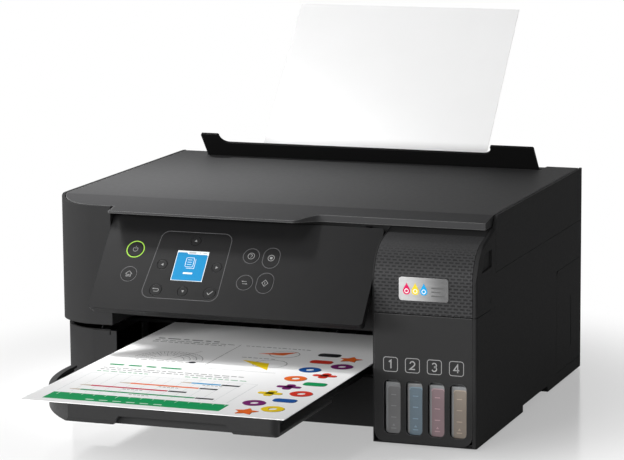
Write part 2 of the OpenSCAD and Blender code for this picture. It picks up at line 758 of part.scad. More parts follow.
module carriage() color([0.14, 0.14, 0.145]) place() {
    x = 138;
    difference() {
        union() {
            block([x - 26, 122, 70], [x + 26, 166, 122]);
            block([x - 18, 160, rail_z - 14], [x + 18, belt_y - 6, rail_z + 10]);
            block([x - 12, belt_y - 7, rail_z + belt_r - 1.4], [x + 12, belt_y + 3, rail_z + belt_r]);
            block([x - 12, belt_y - 7, rail_z + belt_r + 2.1], [x + 12, belt_y + 3, rail_z + belt_r + 4]);
        }
        rod_x(x - 27, x + 27, rail_y, rail_z, rail_r + fit);
        for (i = [-1.5 : 1.5]) block([x + 12 * i - 5, 124, 84], [x + 12 * i + 5, 143, 123]);
        block([x - 27, 158, 80], [x + 27, 167, rail_z - 16]);
    }
}

module print_head() color([0.3, 0.3, 0.32]) place() {
    x = 138;
    difference() {
        block([x - 20, 126, 66.4], [x + 20, 158, 70]);
        for (i = [-1.5 : 1.5]) block([x + 8 * i - 0.5, 130, 66], [x + 8 * i + 0.5, 154, 67]);
    }
}

module main_board() color([0.1, 0.32, 0.16]) place() {
    x = half_w - wall - 5;
    difference() {
        block([x, 226, 14], [x + 1.6, 316, 92]);
        rod_x(x - 1, x + 3, 230, 18, 1.6);
        rod_x(x - 1, x + 3, 230, 88, 1.6);
    }
    block([x - 3, 246, 40], [x, 270, 64]);
    block([x - 2, 278, 60], [x, 292, 74]);
    for (i = [0 : 3]) rod_x(x - 8, x, 240 + 9 * i, 80, 3);
    // data socket at the back edge
    difference() {
        block([x - 22, 306, 30.4], [x - 10, side_d, 41.6]);
        block([x - 20, 312, 32.4], [x - 12, side_d + 1, 39.6]);
    }
    block([x - 10, 306, 30.4], [x, 316, 41.6]);
    for (y = [226, 310], z = [14, 86]) block([x + 1.6, y, z], [half_w - wall - 0.1, y + 2, z + 5]);
    for (z = [14, 86]) block([x - 3, 308, z], [x + 0.2, 313, z + 5]);
}

module power_supply() color([0.16, 0.16, 0.17]) place() {
    x0 = -half_w + left_in + wall + 1.2;
    difference() {
        block([x0, 230, foot_h + wall], [x0 + 52, 294, 52]);
        for (i = [0 : 5]) block([x0 + 6 + 7 * i, 238, 51], [x0 + 9 + 7 * i, 286, 53]);
        for (i = [0 : 5]) block([x0 - 1, 240 + 8 * i, 20], [x0 + 1, 243 + 8 * i, 44]);
    }
}

module power_inlet() color([0.06, 0.06, 0.06]) place() {
    x0 = -half_w + 14.2;
    difference() {
        union() {
            block([x0, 300, 22.2], [x0 + 21.6, side_d, 39.8]);
            block([x0 - 1.5, 300, 20.7], [x0 + 23.1, side_d - wall - 0.2, 41.3]);
            block([x0 + 2, 294.2, 24], [x0 + 19, 301, 38]);
        }
        upright(306, side_d + 1) translate([x0 + 10.8, 31]) {
            translate([-4, 0]) circle(4.6);
            translate([4, 0]) circle(4.6);
            translate([-4, -4.6]) square([8, 9.2]);
        }
    }
    for (s = [-1, 1]) rod_y(305, side_d - 3, x0 + 10.8 + 4 * s, 31, 1.1);
}

// ---------- scanner unit ----------

// Plan outline of the scanner unit, drawn in by d.
module scan_plan(d) {
    x0 = -half_w + d;
    x1 = half_w - d;
    y1 = side_d - d;
    difference() {
        union() {
            translate([x0, column_y + d]) square([column_w - d, y1 - column_y - d]);
            translate([x0, fascia_y + d]) square([tank_x + half_w, 220]);
            translate([tank_x - 2, 51 + d]) square([x1 - tank_x + 2, y1 - 51 - d]);
        }
        translate([x0, column_y + d]) corner_cut(corner_r - d);
        translate([x0, y1]) mirror([0, 1]) corner_cut(rear_r - d);
        translate([x1, y1]) mirror([1, 0]) mirror([0, 1]) corner_cut(rear_r - d);
    }
}

// Space under the sloping strip of the lid and the column's rim.
module under_strip(top) {
    along_x(-half_w - 1, half_w + 1) polygon([
        [0, 0], [0, top - strip_y * slope], [strip_y, top], [side_d + 1, top], [side_d + 1, 0]
    ]);
}

module scanner_housing() color([0.13, 0.13, 0.135]) place() difference() {
    union() {
        translate([0, 0, split_z]) linear_extrude(glass_z - split_z) scan_plan(0);
        // lower part of the left column
        difference() {
            translate([0, 0, column_z]) linear_extrude(split_z - column_z + 1) intersection() {
                scan_plan(0);
                translate([-half_w, 0]) square([column_w, column_y + 60]);
            }
            translate([0, 0, column_z - 1]) linear_extrude(split_z - column_z + 1) intersection() {
                scan_plan(wall);
                translate([-half_w, 0]) square([column_w - wall, column_y + 60 - wall]);
            }
        }
        // rim around the lid
        intersection() {
            translate([0, 0, glass_z - 1]) linear_extrude(20) difference() {
                scan_plan(0);
                scan_plan(rim_t);
                translate([column_x, 0]) square([tank_x + 10 - column_x, 60]);
                translate([column_x, 0]) square([half_w - rim_t - column_x, 60]);
                translate([-half_w + 20, 200]) square([body_w - 40, 200]);
                translate([-half_w + rim_t, side_d - 12]) square([body_w - 2 * rim_t, 30]);
                translate([-half_w - 1, side_d - 5]) square([body_w + 2, 30]);
            }
            under_strip(body_h);
        }
        // ledge under the lid that carries on the slope of the tank cover
        along_x(tank_x + cheek_l + gap, half_w - cheek_r - gap) difference() {
            cover_shape(0, 53);
            square([step_y, 300]);
            square([70, cover_top(step_y) - 3]);
            translate([0, glass_z]) square([70, 10]);
        }
        // front wall behind the control panel
        block([column_x - 1, fascia_y, 80], [panel_x1 + 0.2, fascia_y + wall, split_z + 1]);
        for (m = [0, 1]) mirror([m, 0, 0]) rod_x(172, half_w - 1, lid_axis_y, lid_axis_z, pin_r);
        // pivot bosses of the control panel
        for (x = [panel_x0 + 14, panel_x1 - 20]) panel_boss(x);
    }
    scanner_hollow();
    // the rim drops to the tank unit at its front end on the right
    along_x(tank_x + cheek_l, half_w + 1) polygon([[50, cover_top(50.6)], [50.6, cover_top(50.6)],
        [strip_y, body_h], [strip_y, body_h + 9], [40, body_h + 9], [40, body_h - 3]]);
    // space for the rear feed between the two arms
    block([-arm_x, 268, 0], [arm_x, side_d + 1, 300]);
    // cradles for the lid knuckles
    for (m = [0, 1]) mirror([m, 0, 0])
        block([arm_x - 1, side_d - 15.5, body_h - 12.4], [half_w - rim_t, side_d + 1, body_h - 8]);
    for (m = [0, 1]) mirror([m, 0, 0]) {
        rod_x(arm_x - 1, 167, lift_y, lift_z, pin_r + fit);
        rod_x(arm_x - 2, arm_x + 0.01, lift_y, lift_z, 6);
        // the lower back edge of each arm is round about its pivot
        along_x(arm_x - 1, half_w + 1) difference() {
            translate([lift_y, split_z - 1]) square([lift_r + 1, lift_r + 1]);
            translate([lift_y, lift_z]) circle(lift_r, $fn = 64);
        }
    }
}

// Lug on the front wall with the panel's pivot pin.
module panel_boss(x) {
    pivot = panel_pivot();
    along_x(x, x + 5) difference() {
        union() {
            translate([pivot[0], pivot[1] - 2.2]) square([fascia_y - pivot[0] + 1, 4.4]);
            translate(pivot) circle(2.6);
        }
    }
    rod_x(x - 3, x + 8, pivot[0], pivot[1], 1.4);
}

function panel_pivot() = [
    panel_top_y + 5.6 * sin(panel_tilt + 90 - 90) + 2.4,
    panel_top_z - 3.4
];

module scanner_hollow() {
    // room for the scan bar under the glass
    block([-168, fascia_y + 6, split_z + wall], [162, 266, glass_z - 4.4]);
    block([-159, fascia_y + 10, split_z + 10], [153, 262, glass_z + 1]);
    block([-162.2, fascia_y + 7.8, glass_z - 2.2], [156.2, 264.2, glass_z + 1]);
    // hollow arms, open below
    for (m = [0, 1]) mirror([m, 0, 0])
        block([arm_x + wall + 10, 272, split_z - 1], [half_w - wall, lift_y - 8, body_h - 16]);
    // scan rail bores
    rod_x(-172, 170, scan_rail_y, scan_rail_z, scan_rail_r);
}

module scanner_glass() color([0.75, 0.85, 0.85, 0.5]) place()
    block([-162, fascia_y + 8, glass_z - 2.2], [156, 264, glass_z]);

module scan_rail() color([0.8, 0.8, 0.82]) place()
    rod_x(-172, 170, scan_rail_y, scan_rail_z, scan_rail_r);

module scan_bar() color([0.15, 0.15, 0.15]) place() difference() {
    union() {
        block([-154, fascia_y + 12, split_z + 19], [-134, 260, glass_z - 5]);
        block([-156, scan_rail_y - 12, split_z + 5], [-132, scan_rail_y + 12, split_z + 20]);
        block([-150, fascia_y + 14, glass_z - 6], [-138, 258, glass_z - 3.4]);
    }
    rod_x(-157, -131, scan_rail_y, scan_rail_z, scan_rail_r + fit);
    block([-147, fascia_y + 18, glass_z - 4.4], [-141, 254, glass_z]);
}

// ---------- control panel ----------

// Plan of the panel's face: X across, Y up from the bottom edge being negative.
module panel_face(d) {
    round_rect([panel_x0 + d, -panel_len + d], [panel_x1 - d, -d], 3);
}

key_table = [
    // name order: power, home, help, stop, swap, start, up, down, left, right, back, ok
    [-102.3, -31.4, power_r], [-102.3, -54.3, key_r], [-2.4, -31.6, key_r], [14.7, -32.4, key_r],
    [-2.4, -55.8, key_r], [14.7, -55.2, key_r], [-52.3, -20.5, 4.2], [-52.3, -67.2, 4.2],
    [-75.8, -43.9, 4.2], [-28.8, -43.9, 4.2], [-75.5, -67.2, 5], [-29.3, -67.2, 5]
];

module key_hole(i, grow, z0, z1) {
    k = key_table[i];
    translate([k[0], k[1], z0]) linear_extrude(z1 - z0) key_outline(i, k[2] + grow);
}

// The stop and start keys are upright pills, the others are round.
module key_outline(i, r) {
    if (i == 3 || i == 5) {
        round_rect([-r - 0.2, -r - 2.4], [r + 0.2, r + 2.4], r);
    } else {
        circle(r);
    }
}

module control_panel() color([0.2, 0.2, 0.205]) place() difference() {
    panel_frame() difference() {
        union() {
            translate([0, 0, -2.4]) linear_extrude(2.4) panel_face(0);
            translate([0, 0, -panel_t]) linear_extrude(panel_t - 1) difference() {
                panel_face(0.6);
                panel_face(2.8);
            }
            // ribs behind the face
            for (x = [-90, -14, 30, 62]) block([x - 0.7, -panel_len + 3, -panel_t], [x + 0.7, -4, -2]);
        }
        for (i = [0 : 11]) key_hole(i, 0.2, -panel_t - 1, 1);
        // lcd window
        linear_extrude(20, center = true) round_rect([-66, -57.8], [-38.2, -29.6], 0.6);
        // back edge at the top is cut away for the tilt
        block([panel_x0 - 1, -6, -panel_t - 1], [panel_x1 + 1, 0.1, -panel_t + 1.4]);
    }
    // notches for the two lugs
    for (x = [panel_x0 + 14, panel_x1 - 20]) along_x(x - 0.4, x + 5.4) {
        translate(panel_pivot()) circle(3);
        translate([panel_pivot()[0], panel_pivot()[1] - 14]) square([20, 19]);
        translate([panel_pivot()[0] - 1, panel_pivot()[1] - 16]) square([20, 16]);
    }
    for (x = [panel_x0 + 14, panel_x1 - 20])
        rod_x(x - 3.3, x + 8.3, panel_pivot()[0], panel_pivot()[1], 1.4 + fit);
}

module lcd_module() color([0.1, 0.35, 0.6]) place() panel_frame() {
    translate([0, 0, -2]) linear_extrude(1.7) round_rect([-65.9, -57.7], [-38.3, -29.7], 0.5);
    block([-67.6, -59.4, -4.8], [-36.6, -28, -2.4]);
}

// One key: a cap level with the face and a flange behind it.
module key(i) color([0.2, 0.2, 0.205]) place() panel_frame() {
    key_hole(i, 0, -4.2, 0.1);
    key_hole(i, 1, -4.2, -2.7);
}

module key_power() key(0);

module key_home() key(1);

module key_help() key(2);

module key_stop() key(3);

module key_swap() key(4);

module key_start() key(5);

module key_up() key(6);

module key_down() key(7);

module key_left() key(8);

module key_right() key(9);

module key_back() key(10);

module key_ok() key(11);

// ---------- lid ----------

// Front edge of the lid on the right of its overhang: a smooth step back.
function step_edge(x0, x1, n) = [for (i = [0 : n])
    [x0 + (x1 - x0) * i / n, overhang_y + (step_y - overhang_y) * (1 - cos(180 * i / n)) / 2]];

module lid_plan() {
    x0 = -half_w + rim_t + 0.7;
    x1 = half_w - rim_t - 0.7;
    y0 = column_y + rim_t + 0.7;
    difference() {
        union() {
            difference() {
                translate([x0, y0]) square([body_w / 2, side_d - 2 - y0]);
                translate([x0, y0]) corner_cut(corner_r - rim_t - 0.7);
            }
            polygon(concat([[column_x + 2.5, 100], [column_x + 2.5, overhang_y]],
                step_edge(30, 49, 12), [[x1, step_y], [x1, 100]]));
            translate([-1, 99]) square([x1 + 1, side_d - 2 - 99]);
        }
        translate([x0, side_d - 2]) mirror([0, 1]) corner_cut(rear_r - 3);
        translate([x1, side_d - 2]) mirror([1, 0]) mirror([0, 1]) corner_cut(rear_r - 3);
        difference() {
            translate([-notch_x + 1, notch_y]) square([2 * notch_x - 2, 60]);
            for (m = [0, 1]) mirror([m, 0]) translate([notch_x - 1, notch_y]) mirror([1, 0]) corner_cut(3);
        }
    }
}

module lid() color([0.2, 0.2, 0.205]) place() difference() {
    intersection() {
        linear_extrude(300) lid_plan();
        along_x(-half_w, half_w) union() {
            difference() {
                polygon([
                    [overhang_y, glass_z + 1.4], [step_y, glass_z + gap], [side_d - 8, glass_z + gap],
                    [side_d - 8, body_h], [strip_y, body_h], [overhang_y, body_h - strip_drop]
                ]);
            }
            intersection() {
                translate([lid_axis_y, lid_axis_z]) circle(lid_knuckle, $fn = 64);
                translate([lid_axis_y - 6, lid_axis_z - 6]) square([12, 12]);
            }
        }
    }
    // hollow underside around the pad
    block([-164, fascia_y + 7, glass_z - 1], [158, 266, glass_z + 4.8]);
    for (m = [0, 1]) mirror([m, 0, 0]) {
        rod_x(171.5, half_w, lid_axis_y, lid_axis_z, pin_r + fit);
        rod_x(notch_x - 3, notch_x + 6, guard_y, guard_z, 1.5 + fit);
    }
    // the middle of the lid ends in front of the feed, so its back corners are square lugs
    block([-notch_x + 1.01, side_d - 16, 0], [notch_x - 1.01, side_d + 5, 300]);
}

module lid_pad() color([0.95, 0.95, 0.95]) place() {
    block([-160, fascia_y + 10, glass_z + gap], [154, 262, glass_z + 4.8]);
}

module feeder_guard() color([0.07, 0.07, 0.07]) place() {
    half = notch_x - 2.5;
    rod_x(-half, half, guard_y, guard_z, 2.2);
    for (s = [-1, 1]) rod_x(min(s * half, s * (half + 5.5)), max(s * half, s * (half + 5.5)), guard_y, guard_z, 1.5);
    translate([0, guard_y, guard_z]) rotate([guard_lean, 0, 0]) upright(-1, 1) guard_outline(half - 0.5);
}

// Outline of the guard: two raised ears and a lower middle with curved shoulders.
module guard_outline(half) {
    low = guard_len - 10.5;
    ear_l = -half + 17;
    ear_r = half - 39;
    difference() {
        union() {
            translate([-half, 0]) square([2 * half, low]);
            round_rect([-half, 2], [ear_l, guard_len], 1.5);
            round_rect([ear_r, 2], [half, guard_len], 1.5);
            translate([ear_l - 1, low - 1]) square([9, 9]);
            translate([ear_r - 8, low - 1]) square([9, 9]);
        }
        translate([ear_l + 8, low + 8]) circle(8);
        translate([ear_r - 8, low + 8]) circle(8);
        translate([ear_l + 8, low]) square([4, 12]);
        translate([ear_r - 12, low]) square([4, 12]);
    }
}

base_housing();
base_floor();
rubber_feet();
left_front_cover();
tank_front_panel();
side_access_cover();
rear_cover();
feeder_housing();
ink_tanks();
main_frame();
carriage_rail();
drive_belt();
carriage_motor();
drive_pulley();
idler_pulley();
platen();
capping_station();
main_board();
power_supply();
power_inlet();
feed_roller();
exit_roller();
pickup_roller();
carriage();
print_head();
control_panel();
lcd_module();
key_power();
key_home();
key_help();
key_stop();
key_swap();
key_start();
key_up();
key_down();
key_left();
key_right();
key_back();
key_ok();
scanner_housing();
scanner_glass();
scan_bar();
scan_rail();
lid();
lid_pad();
feeder_guard();
paper_support();
support_extension();
edge_guide_left();
edge_guide_right();
output_tray();
tray_extension();
tank_cover();
badge_plate();
tank_cap_1();
tank_cap_2();
tank_cap_3();
tank_cap_4();
printed_sheet();
blank_sheet();
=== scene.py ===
import json
import math
import random

import bpy
from mathutils import Matrix, Vector
from mathutils.geometry import tessellate_polygon


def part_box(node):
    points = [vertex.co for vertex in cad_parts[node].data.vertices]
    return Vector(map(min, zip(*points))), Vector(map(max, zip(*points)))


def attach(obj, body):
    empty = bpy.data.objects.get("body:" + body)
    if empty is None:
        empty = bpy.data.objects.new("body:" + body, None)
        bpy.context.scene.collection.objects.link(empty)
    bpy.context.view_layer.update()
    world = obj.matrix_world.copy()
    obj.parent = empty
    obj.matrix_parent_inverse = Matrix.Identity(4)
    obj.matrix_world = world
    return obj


# The printer's looks: materials for its parts, the marks printed on them, and a studio with a camera.

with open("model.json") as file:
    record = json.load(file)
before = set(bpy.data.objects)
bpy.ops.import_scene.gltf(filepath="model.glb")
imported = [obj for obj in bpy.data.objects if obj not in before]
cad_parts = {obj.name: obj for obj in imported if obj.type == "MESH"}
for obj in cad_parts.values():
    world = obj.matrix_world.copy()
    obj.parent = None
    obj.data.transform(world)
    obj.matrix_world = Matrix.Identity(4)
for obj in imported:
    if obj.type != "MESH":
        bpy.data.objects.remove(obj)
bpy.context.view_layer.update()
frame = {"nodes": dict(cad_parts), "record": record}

MM = 0.001             # outlines and places are in millimetres; floor, lamps and camera are in metres
DEPTH = 347.0          # depth of the body, whose middle is at the frame's zero


def at(x, y, z):
    """A place in the frame, from millimetres with y counted back from the tank unit's front."""
    return Vector((x * MM, (y - DEPTH / 2) * MM, z * MM))


def tilted_plane(x, y, z, tilt):
    """A plane through a point: x runs to the right, and y is turned up by tilt degrees."""
    return Matrix.Translation(at(x, y, z)) @ Matrix.Rotation(math.radians(tilt), 4, "X")


# ---------------------------------------------------------------- shader helpers

class Value:
    """A number in a shader tree that can be written as a sum."""

    def __init__(self, tree, out):
        self.tree = tree
        self.out = out

    def feed(self, node, *values):
        """Gives the values to the node's first inputs and returns its first output."""
        for socket, value in zip(node.inputs, values):
            if isinstance(value, Value):
                self.tree.links.new(value.out, socket)
            else:
                socket.default_value = value
        return Value(self.tree, node.outputs[0])

    def compute(self, operation, *others):
        node = self.tree.nodes.new("ShaderNodeMath")
        node.operation = operation
        return self.feed(node, self, *others)

    def __add__(self, other):
        return self.compute("ADD", other)

    def __sub__(self, other):
        return self.compute("SUBTRACT", other)

    def __mul__(self, other):
        return self.compute("MULTIPLY", other)

    def __truediv__(self, other):
        return self.compute("DIVIDE", other)

    def __neg__(self):
        return self.compute("MULTIPLY", -1.0)

    def abs(self):
        return self.compute("ABSOLUTE")

    def fract(self):
        return self.compute("FRACT")

    def floor(self):
        return self.compute("FLOOR")

    def sin(self):
        return self.compute("SINE")

    def max(self, other):
        return self.compute("MAXIMUM", other)

    def min(self, other):
        return self.compute("MINIMUM", other)

    def atan2(self, other):
        return self.compute("ARCTAN2", other)

    def power(self, other):
        return self.compute("POWER", other)

    def ramp(self, start, end, low=0.0, high=1.0):
        """Runs smoothly from low at start to high at end."""
        node = self.tree.nodes.new("ShaderNodeMapRange")
        node.interpolation_type = "SMOOTHSTEP"
        return self.feed(node, self, start, end, low, high)


class Look:
    """A material under construction: coordinates, noise, bump and a Principled shader."""

    BEVEL_SAMPLES = 6
    NOISE_ROUGHNESS = 0.55
    COLOR_A, COLOR_B, COLOR_OUT = 6, 7, 2    # colour sockets of a Mix node
    FLAT, TURNED = 0.99, 0.80                # cosines between which a painted highlight grows over a rounded edge

    def __init__(self, name, color, rough, metal=0.0, spec=0.5, bevel=0.0):
        self.material = bpy.data.materials.new(name)
        self.material.use_nodes = True
        self.material.diffuse_color = (*color, 1)
        self.tree = self.material.node_tree
        self.shader = self.tree.nodes["Principled BSDF"]
        self.color = color
        self.rough = rough
        self.set("Base Color", (*color, 1))
        self.set("Roughness", rough)
        self.set("Metallic", metal)
        self.set("Specular IOR Level", spec)
        self.point = self.tree.nodes.new("ShaderNodeTexCoord").outputs["Object"]
        split = self.tree.nodes.new("ShaderNodeSeparateXYZ")
        self.tree.links.new(self.point, split.inputs[0])
        self.x, self.y, self.z = (Value(self.tree, out) for out in split.outputs)
        self.normal = None
        if bevel:
            node = self.tree.nodes.new("ShaderNodeBevel")
            node.samples = self.BEVEL_SAMPLES
            node.inputs["Radius"].default_value = bevel
            self.turn_normal(node)

    def set(self, socket, value):
        """One value for the whole surface."""
        self.shader.inputs[socket].default_value = value

    def link(self, socket, out):
        """A value that changes over the surface."""
        self.tree.links.new(out, self.shader.inputs[socket])

    def turn_normal(self, node):
        self.normal = node.outputs[0]
        self.link("Normal", self.normal)

    def noise(self, scale, detail=3.0, stretch=None):
        node = self.tree.nodes.new("ShaderNodeTexNoise")
        node.inputs["Scale"].default_value = scale
        node.inputs["Detail"].default_value = detail
        node.inputs["Roughness"].default_value = self.NOISE_ROUGHNESS
        point = self.point
        if stretch:
            mapping = self.tree.nodes.new("ShaderNodeMapping")
            mapping.inputs["Scale"].default_value = stretch
            self.tree.links.new(point, mapping.inputs[0])
            point = mapping.outputs[0]
        self.tree.links.new(point, node.inputs["Vector"])
        return Value(self.tree, node.outputs["Fac"])

    def cells(self, scale):
        node = self.tree.nodes.new("ShaderNodeTexVoronoi")
        node.inputs["Scale"].default_value = scale
        self.tree.links.new(self.point, node.inputs["Vector"])
        return Value(self.tree, node.outputs["Distance"])

    def bump(self, height, depth, strength):
        """Raises the surface by height times depth, in metres."""
        node = self.tree.nodes.new("ShaderNodeBump")
        node.inputs["Strength"].default_value = strength
        node.inputs["Distance"].default_value = depth
        self.tree.links.new(height.out, node.inputs["Height"])
        if self.normal is not None:
            self.tree.links.new(self.normal, node.inputs["Normal"])
        self.turn_normal(node)

    def mix(self, share, first, second):
        """A colour between two colours, each given as numbers or as a socket."""
        node = self.tree.nodes.new("ShaderNodeMix")
        node.data_type = "RGBA"
        self.tree.links.new(share.out, node.inputs["Factor"])
        for i, color in ((self.COLOR_A, first), (self.COLOR_B, second)):
            if isinstance(color, tuple):
                node.inputs[i].default_value = (*color, 1)
            else:
                self.tree.links.new(color, node.inputs[i])
        return node.outputs[self.COLOR_OUT]

    def edges(self):
        """0 on flat ground, rising over a rounded edge: the mask of a painted highlight along it."""
        geometry = self.tree.nodes.new("ShaderNodeNewGeometry")
        node = self.tree.nodes.new("ShaderNodeVectorMath")
        node.operation = "DOT_PRODUCT"
        self.tree.links.new(geometry.outputs["True Normal"], node.inputs[0])
        self.tree.links.new(self.normal, node.inputs[1])
        return Value(self.tree, node.outputs["Value"]).ramp(self.FLAT, self.TURNED)

    def mottle(self, amount, scale):
        """Lets the colour wander by a share of itself."""
        low = tuple(c * (1 - amount) for c in self.color)
        high = tuple(min(1, c * (1 + amount)) for c in self.color)
        self.link("Base Color", self.mix(self.noise(scale), low, high))

    def vary_rough(self, low, high, noise):
        self.link("Roughness", noise.ramp(0.3, 0.7, low, high).out)

    def wander_rough(self, amount, scale):
        self.vary_rough(self.rough - amount, self.rough + amount, self.noise(scale))


# ---------------------------------------------------------------- materials

COVER_BEND_R = 30.0                     # radius of the bend at the top of the tank cover
COVER_BEND_Z = 131.0                    # height at which the bend starts
COVER_RISE = math.radians(16)           # slope of the cover behind its bend
DASH_PITCH, DASH_ROW = 5.1, 2.6         # the cover's dashes, along a row and from row to row
FADE_START, FADE_END = 150.0, 161.0     # heights between which the dashes give way to leather
STRIP_END = 55.5, 58.0                  # the lid's sloping front strip ends here, measured from the front
BADGE_BRIGHT, BADGE_DARK = 126.0, 164.0    # x between which a painted falloff of light darkens the badge


def grained(name, color, rough, grain=1700.0, spec=0.12):
    """Moulded plastic with a fine spark-eroded grain."""
    look = Look(name, color, rough, spec=spec, bevel=0.0007)
    look.mottle(0.05, 260.0)
    look.wander_rough(0.03, 420.0)
    look.bump(look.noise(grain, detail=2.0), 0.00004, strength=0.6)
    return look.material


def metal(name, color, rough, stretch):
    """Bare metal, brushed along the axis whose stretch is smallest."""
    look = Look(name, color, rough, metal=1.0, bevel=0.0004)
    look.mottle(0.08, 90.0)
    look.vary_rough(rough - 0.08, rough + 0.1, look.noise(500.0, stretch=stretch))
    return look.material


def cover_material():
    """Tank cover: staggered rows of shallow dashes, fading to leather on the slope."""
    look = Look("cover_dashes", (0.030, 0.030, 0.031), 0.50, spec=0.10, bevel=0.0006)
    y = look.y / MM + DEPTH / 2
    z = look.z / MM
    bend_length = COVER_BEND_R * (math.pi / 2 - COVER_RISE)
    slope_start = COVER_BEND_R * (1 - math.sin(COVER_RISE))
    ahead = -(y - COVER_BEND_R)
    above = z - COVER_BEND_Z
    turned = -ahead.atan2(above) + math.pi / 2
    round_bend = (turned * COVER_BEND_R).min(bend_length).max(0.0)
    up_slope = (y - slope_start).max(0.0) / math.cos(COVER_RISE)
    row = (above.min(0.0) + round_bend + up_slope) / DASH_ROW
    stagger = row.floor() * 0.5
    across = ((look.x / MM / DASH_PITCH + stagger).fract() - 0.5).abs()
    along = (row.fract() - 0.5).abs()
    dash = across.ramp(0.28, 0.38, 1.0, 0.0) * along.ramp(0.14, 0.30, 1.0, 0.0)
    dash = dash * z.ramp(FADE_START, FADE_END, 1.0, 0.0)
    leather = look.cells(420.0) * 0.5 * z.ramp(FADE_START, FADE_END)
    look.bump(-dash + look.noise(900.0, detail=2.0) * 0.2 + leather, 0.0004, strength=0.85)
    # painted shade: the dashes are painted darker, as shade in their shallow recesses; the noise is the
    # plastic's own tone
    shade = dash * 0.8 + look.noise(70.0) * 0.12
    look.link("Base Color", look.mix(shade, (0.036, 0.036, 0.037), (0.011, 0.011, 0.0114)))
    return look.material


def lid_material():
    """Lid: satin top with a painted highlight along each rounded edge, a front strip painted a little darker
    as shade, and a leather grain that is stronger on the front strip.
    """
    look = Look("lid_satin", (0.062, 0.062, 0.063), 0.58, spec=0.02, bevel=0.0010)
    strip = (look.y / MM + DEPTH / 2).ramp(*STRIP_END, 1.0, 0.0)
    # painted shade: the sloping front strip is painted a little darker than the top
    plain = look.mix(strip, (0.052, 0.052, 0.053), (0.045, 0.045, 0.046))
    # painted highlight: rounded edges are painted much lighter
    look.link("Base Color", look.mix(look.edges(), plain, (0.20, 0.20, 0.20)))
    grain = look.noise(850.0) * 0.6 + look.cells(520.0) * 0.6
    look.bump(grain * (strip * 0.75 + 0.25), 0.00012, strength=0.75)
    rough = look.noise(220.0).ramp(0.3, 0.7, 0.56, 0.60) + strip * 0.04
    look.link("Roughness", rough.out)
    return look.material


def front_material():
    """Front of the tank unit: smooth satin with a painted highlight along each rounded edge."""
    look = Look("front_satin", (0.0150, 0.0150, 0.0152), 0.45, spec=0.13, bevel=0.0009)
    plain = look.mix(look.noise(260.0), (0.0142, 0.0142, 0.0144), (0.0158, 0.0158, 0.0160))
    # painted highlight: rounded edges are painted lighter
    look.link("Base Color", look.mix(look.edges(), plain, (0.075, 0.075, 0.076)))
    look.wander_rough(0.03, 420.0)
    look.bump(look.noise(2300.0, detail=2.0), 0.00002, strength=0.6)
    return look.material


def panel_material():
    """Control panel and keys: smooth satin with hardly any grain."""
    look = Look("panel_satin", (0.0080, 0.0080, 0.0082), 0.40, spec=0.10, bevel=0.0008)
    look.mottle(0.06, 60.0)
    look.wander_rough(0.03, 140.0)
    look.bump(look.noise(2200.0, detail=2.0), 0.00002, strength=0.4)
    return look.material


def paper_material():
    look = Look("paper_white", (0.87, 0.87, 0.87), 0.75, spec=0.1)
    look.mottle(0.015, 25.0)
    look.bump(look.noise(1300.0, detail=4.0), 0.00003, strength=0.35)
    return look.material


def ink(name, color, rough=0.55, glow=0.0):
    """Printed or painted mark with slightly uneven cover, lit from behind where it glows."""
    look = Look("ink_" + name, color, rough, spec=0.08)
    look.mottle(0.07, 400.0)
    look.bump(look.noise(1600.0, detail=2.0), 0.000015, strength=0.3)
    if glow:
        look.set("Emission Color", (*color, 1))
        look.set("Emission Strength", glow)
    return look.material


def rubber(name, color, rings=0.0):
    """Matt rubber, with ground rings across x where it is a roller's."""
    look = Look(name, color, 0.72, spec=0.3, bevel=0.0005)
    look.mottle(0.15, 120.0)
    height = look.noise(1500.0)
    if rings:
        height = height * 0.4 + (look.x * rings).sin() * 0.5
    look.bump(height, 0.00008, strength=0.7)
    return look.material


def tank_material():
    """Tank plastic, a little cloudy and hardly clear."""
    look = Look("tank_cloudy", (0.20, 0.205, 0.21), 0.32, bevel=0.0009)
    look.mottle(0.08, 45.0)
    look.set("Transmission Weight", 0.12)
    look.set("IOR", 1.46)
    look.bump(look.noise(700.0, detail=2.0), 0.00004, strength=0.4)
    return look.material


def level_material(name, color):
    """Ink seen through the front of its tank."""
    look = Look("level_" + name, color, 0.35, spec=0.3)
    look.mottle(0.1, 60.0)
    look.bump(look.noise(500.0, detail=2.0), 0.00003, strength=0.4)
    return look.material


def glass_material():
    look = Look("platen_glass", (0.85, 0.93, 0.9), 0.04)
    look.set("Transmission Weight", 1.0)
    look.set("IOR", 1.5)
    look.bump(look.noise(40.0, detail=1.0), 0.00002, strength=0.2)
    return look.material


def board_material():
    """Circuit board: patches of tracks over the lacquer."""
    look = Look("circuit_board", (0.012, 0.085, 0.035), 0.3, bevel=0.0003)
    lines = ((look.z * 900.0).fract() - 0.5).abs().ramp(0.10, 0.16, 1.0, 0.0)
    tracks = lines * look.noise(120.0, detail=1.0).ramp(0.48, 0.52)
    look.link("Base Color", look.mix(tracks, (0.010, 0.070, 0.03), (0.05, 0.20, 0.08)))
    look.bump(tracks, 0.00004, strength=0.5)
    return look.material


def badge_material():
    """Silver plate with painted light that falls off to dark at its right end, brushed along x."""
    look = Look("badge_silver", (0.62, 0.62, 0.62), 0.30, metal=0.35, spec=0.3, bevel=0.0005)
    # painted light: the plate darkens from left to right as if lit from the left
    painted_light_falloff = (look.x / MM).ramp(BADGE_BRIGHT, BADGE_DARK) + look.noise(60.0) * 0.06
    look.link("Base Color", look.mix(painted_light_falloff, (0.42, 0.42, 0.42), (0.100, 0.100, 0.101)))
    look.vary_rough(0.30, 0.40, look.noise(400.0, stretch=(0.05, 1, 1)))
    return look.material


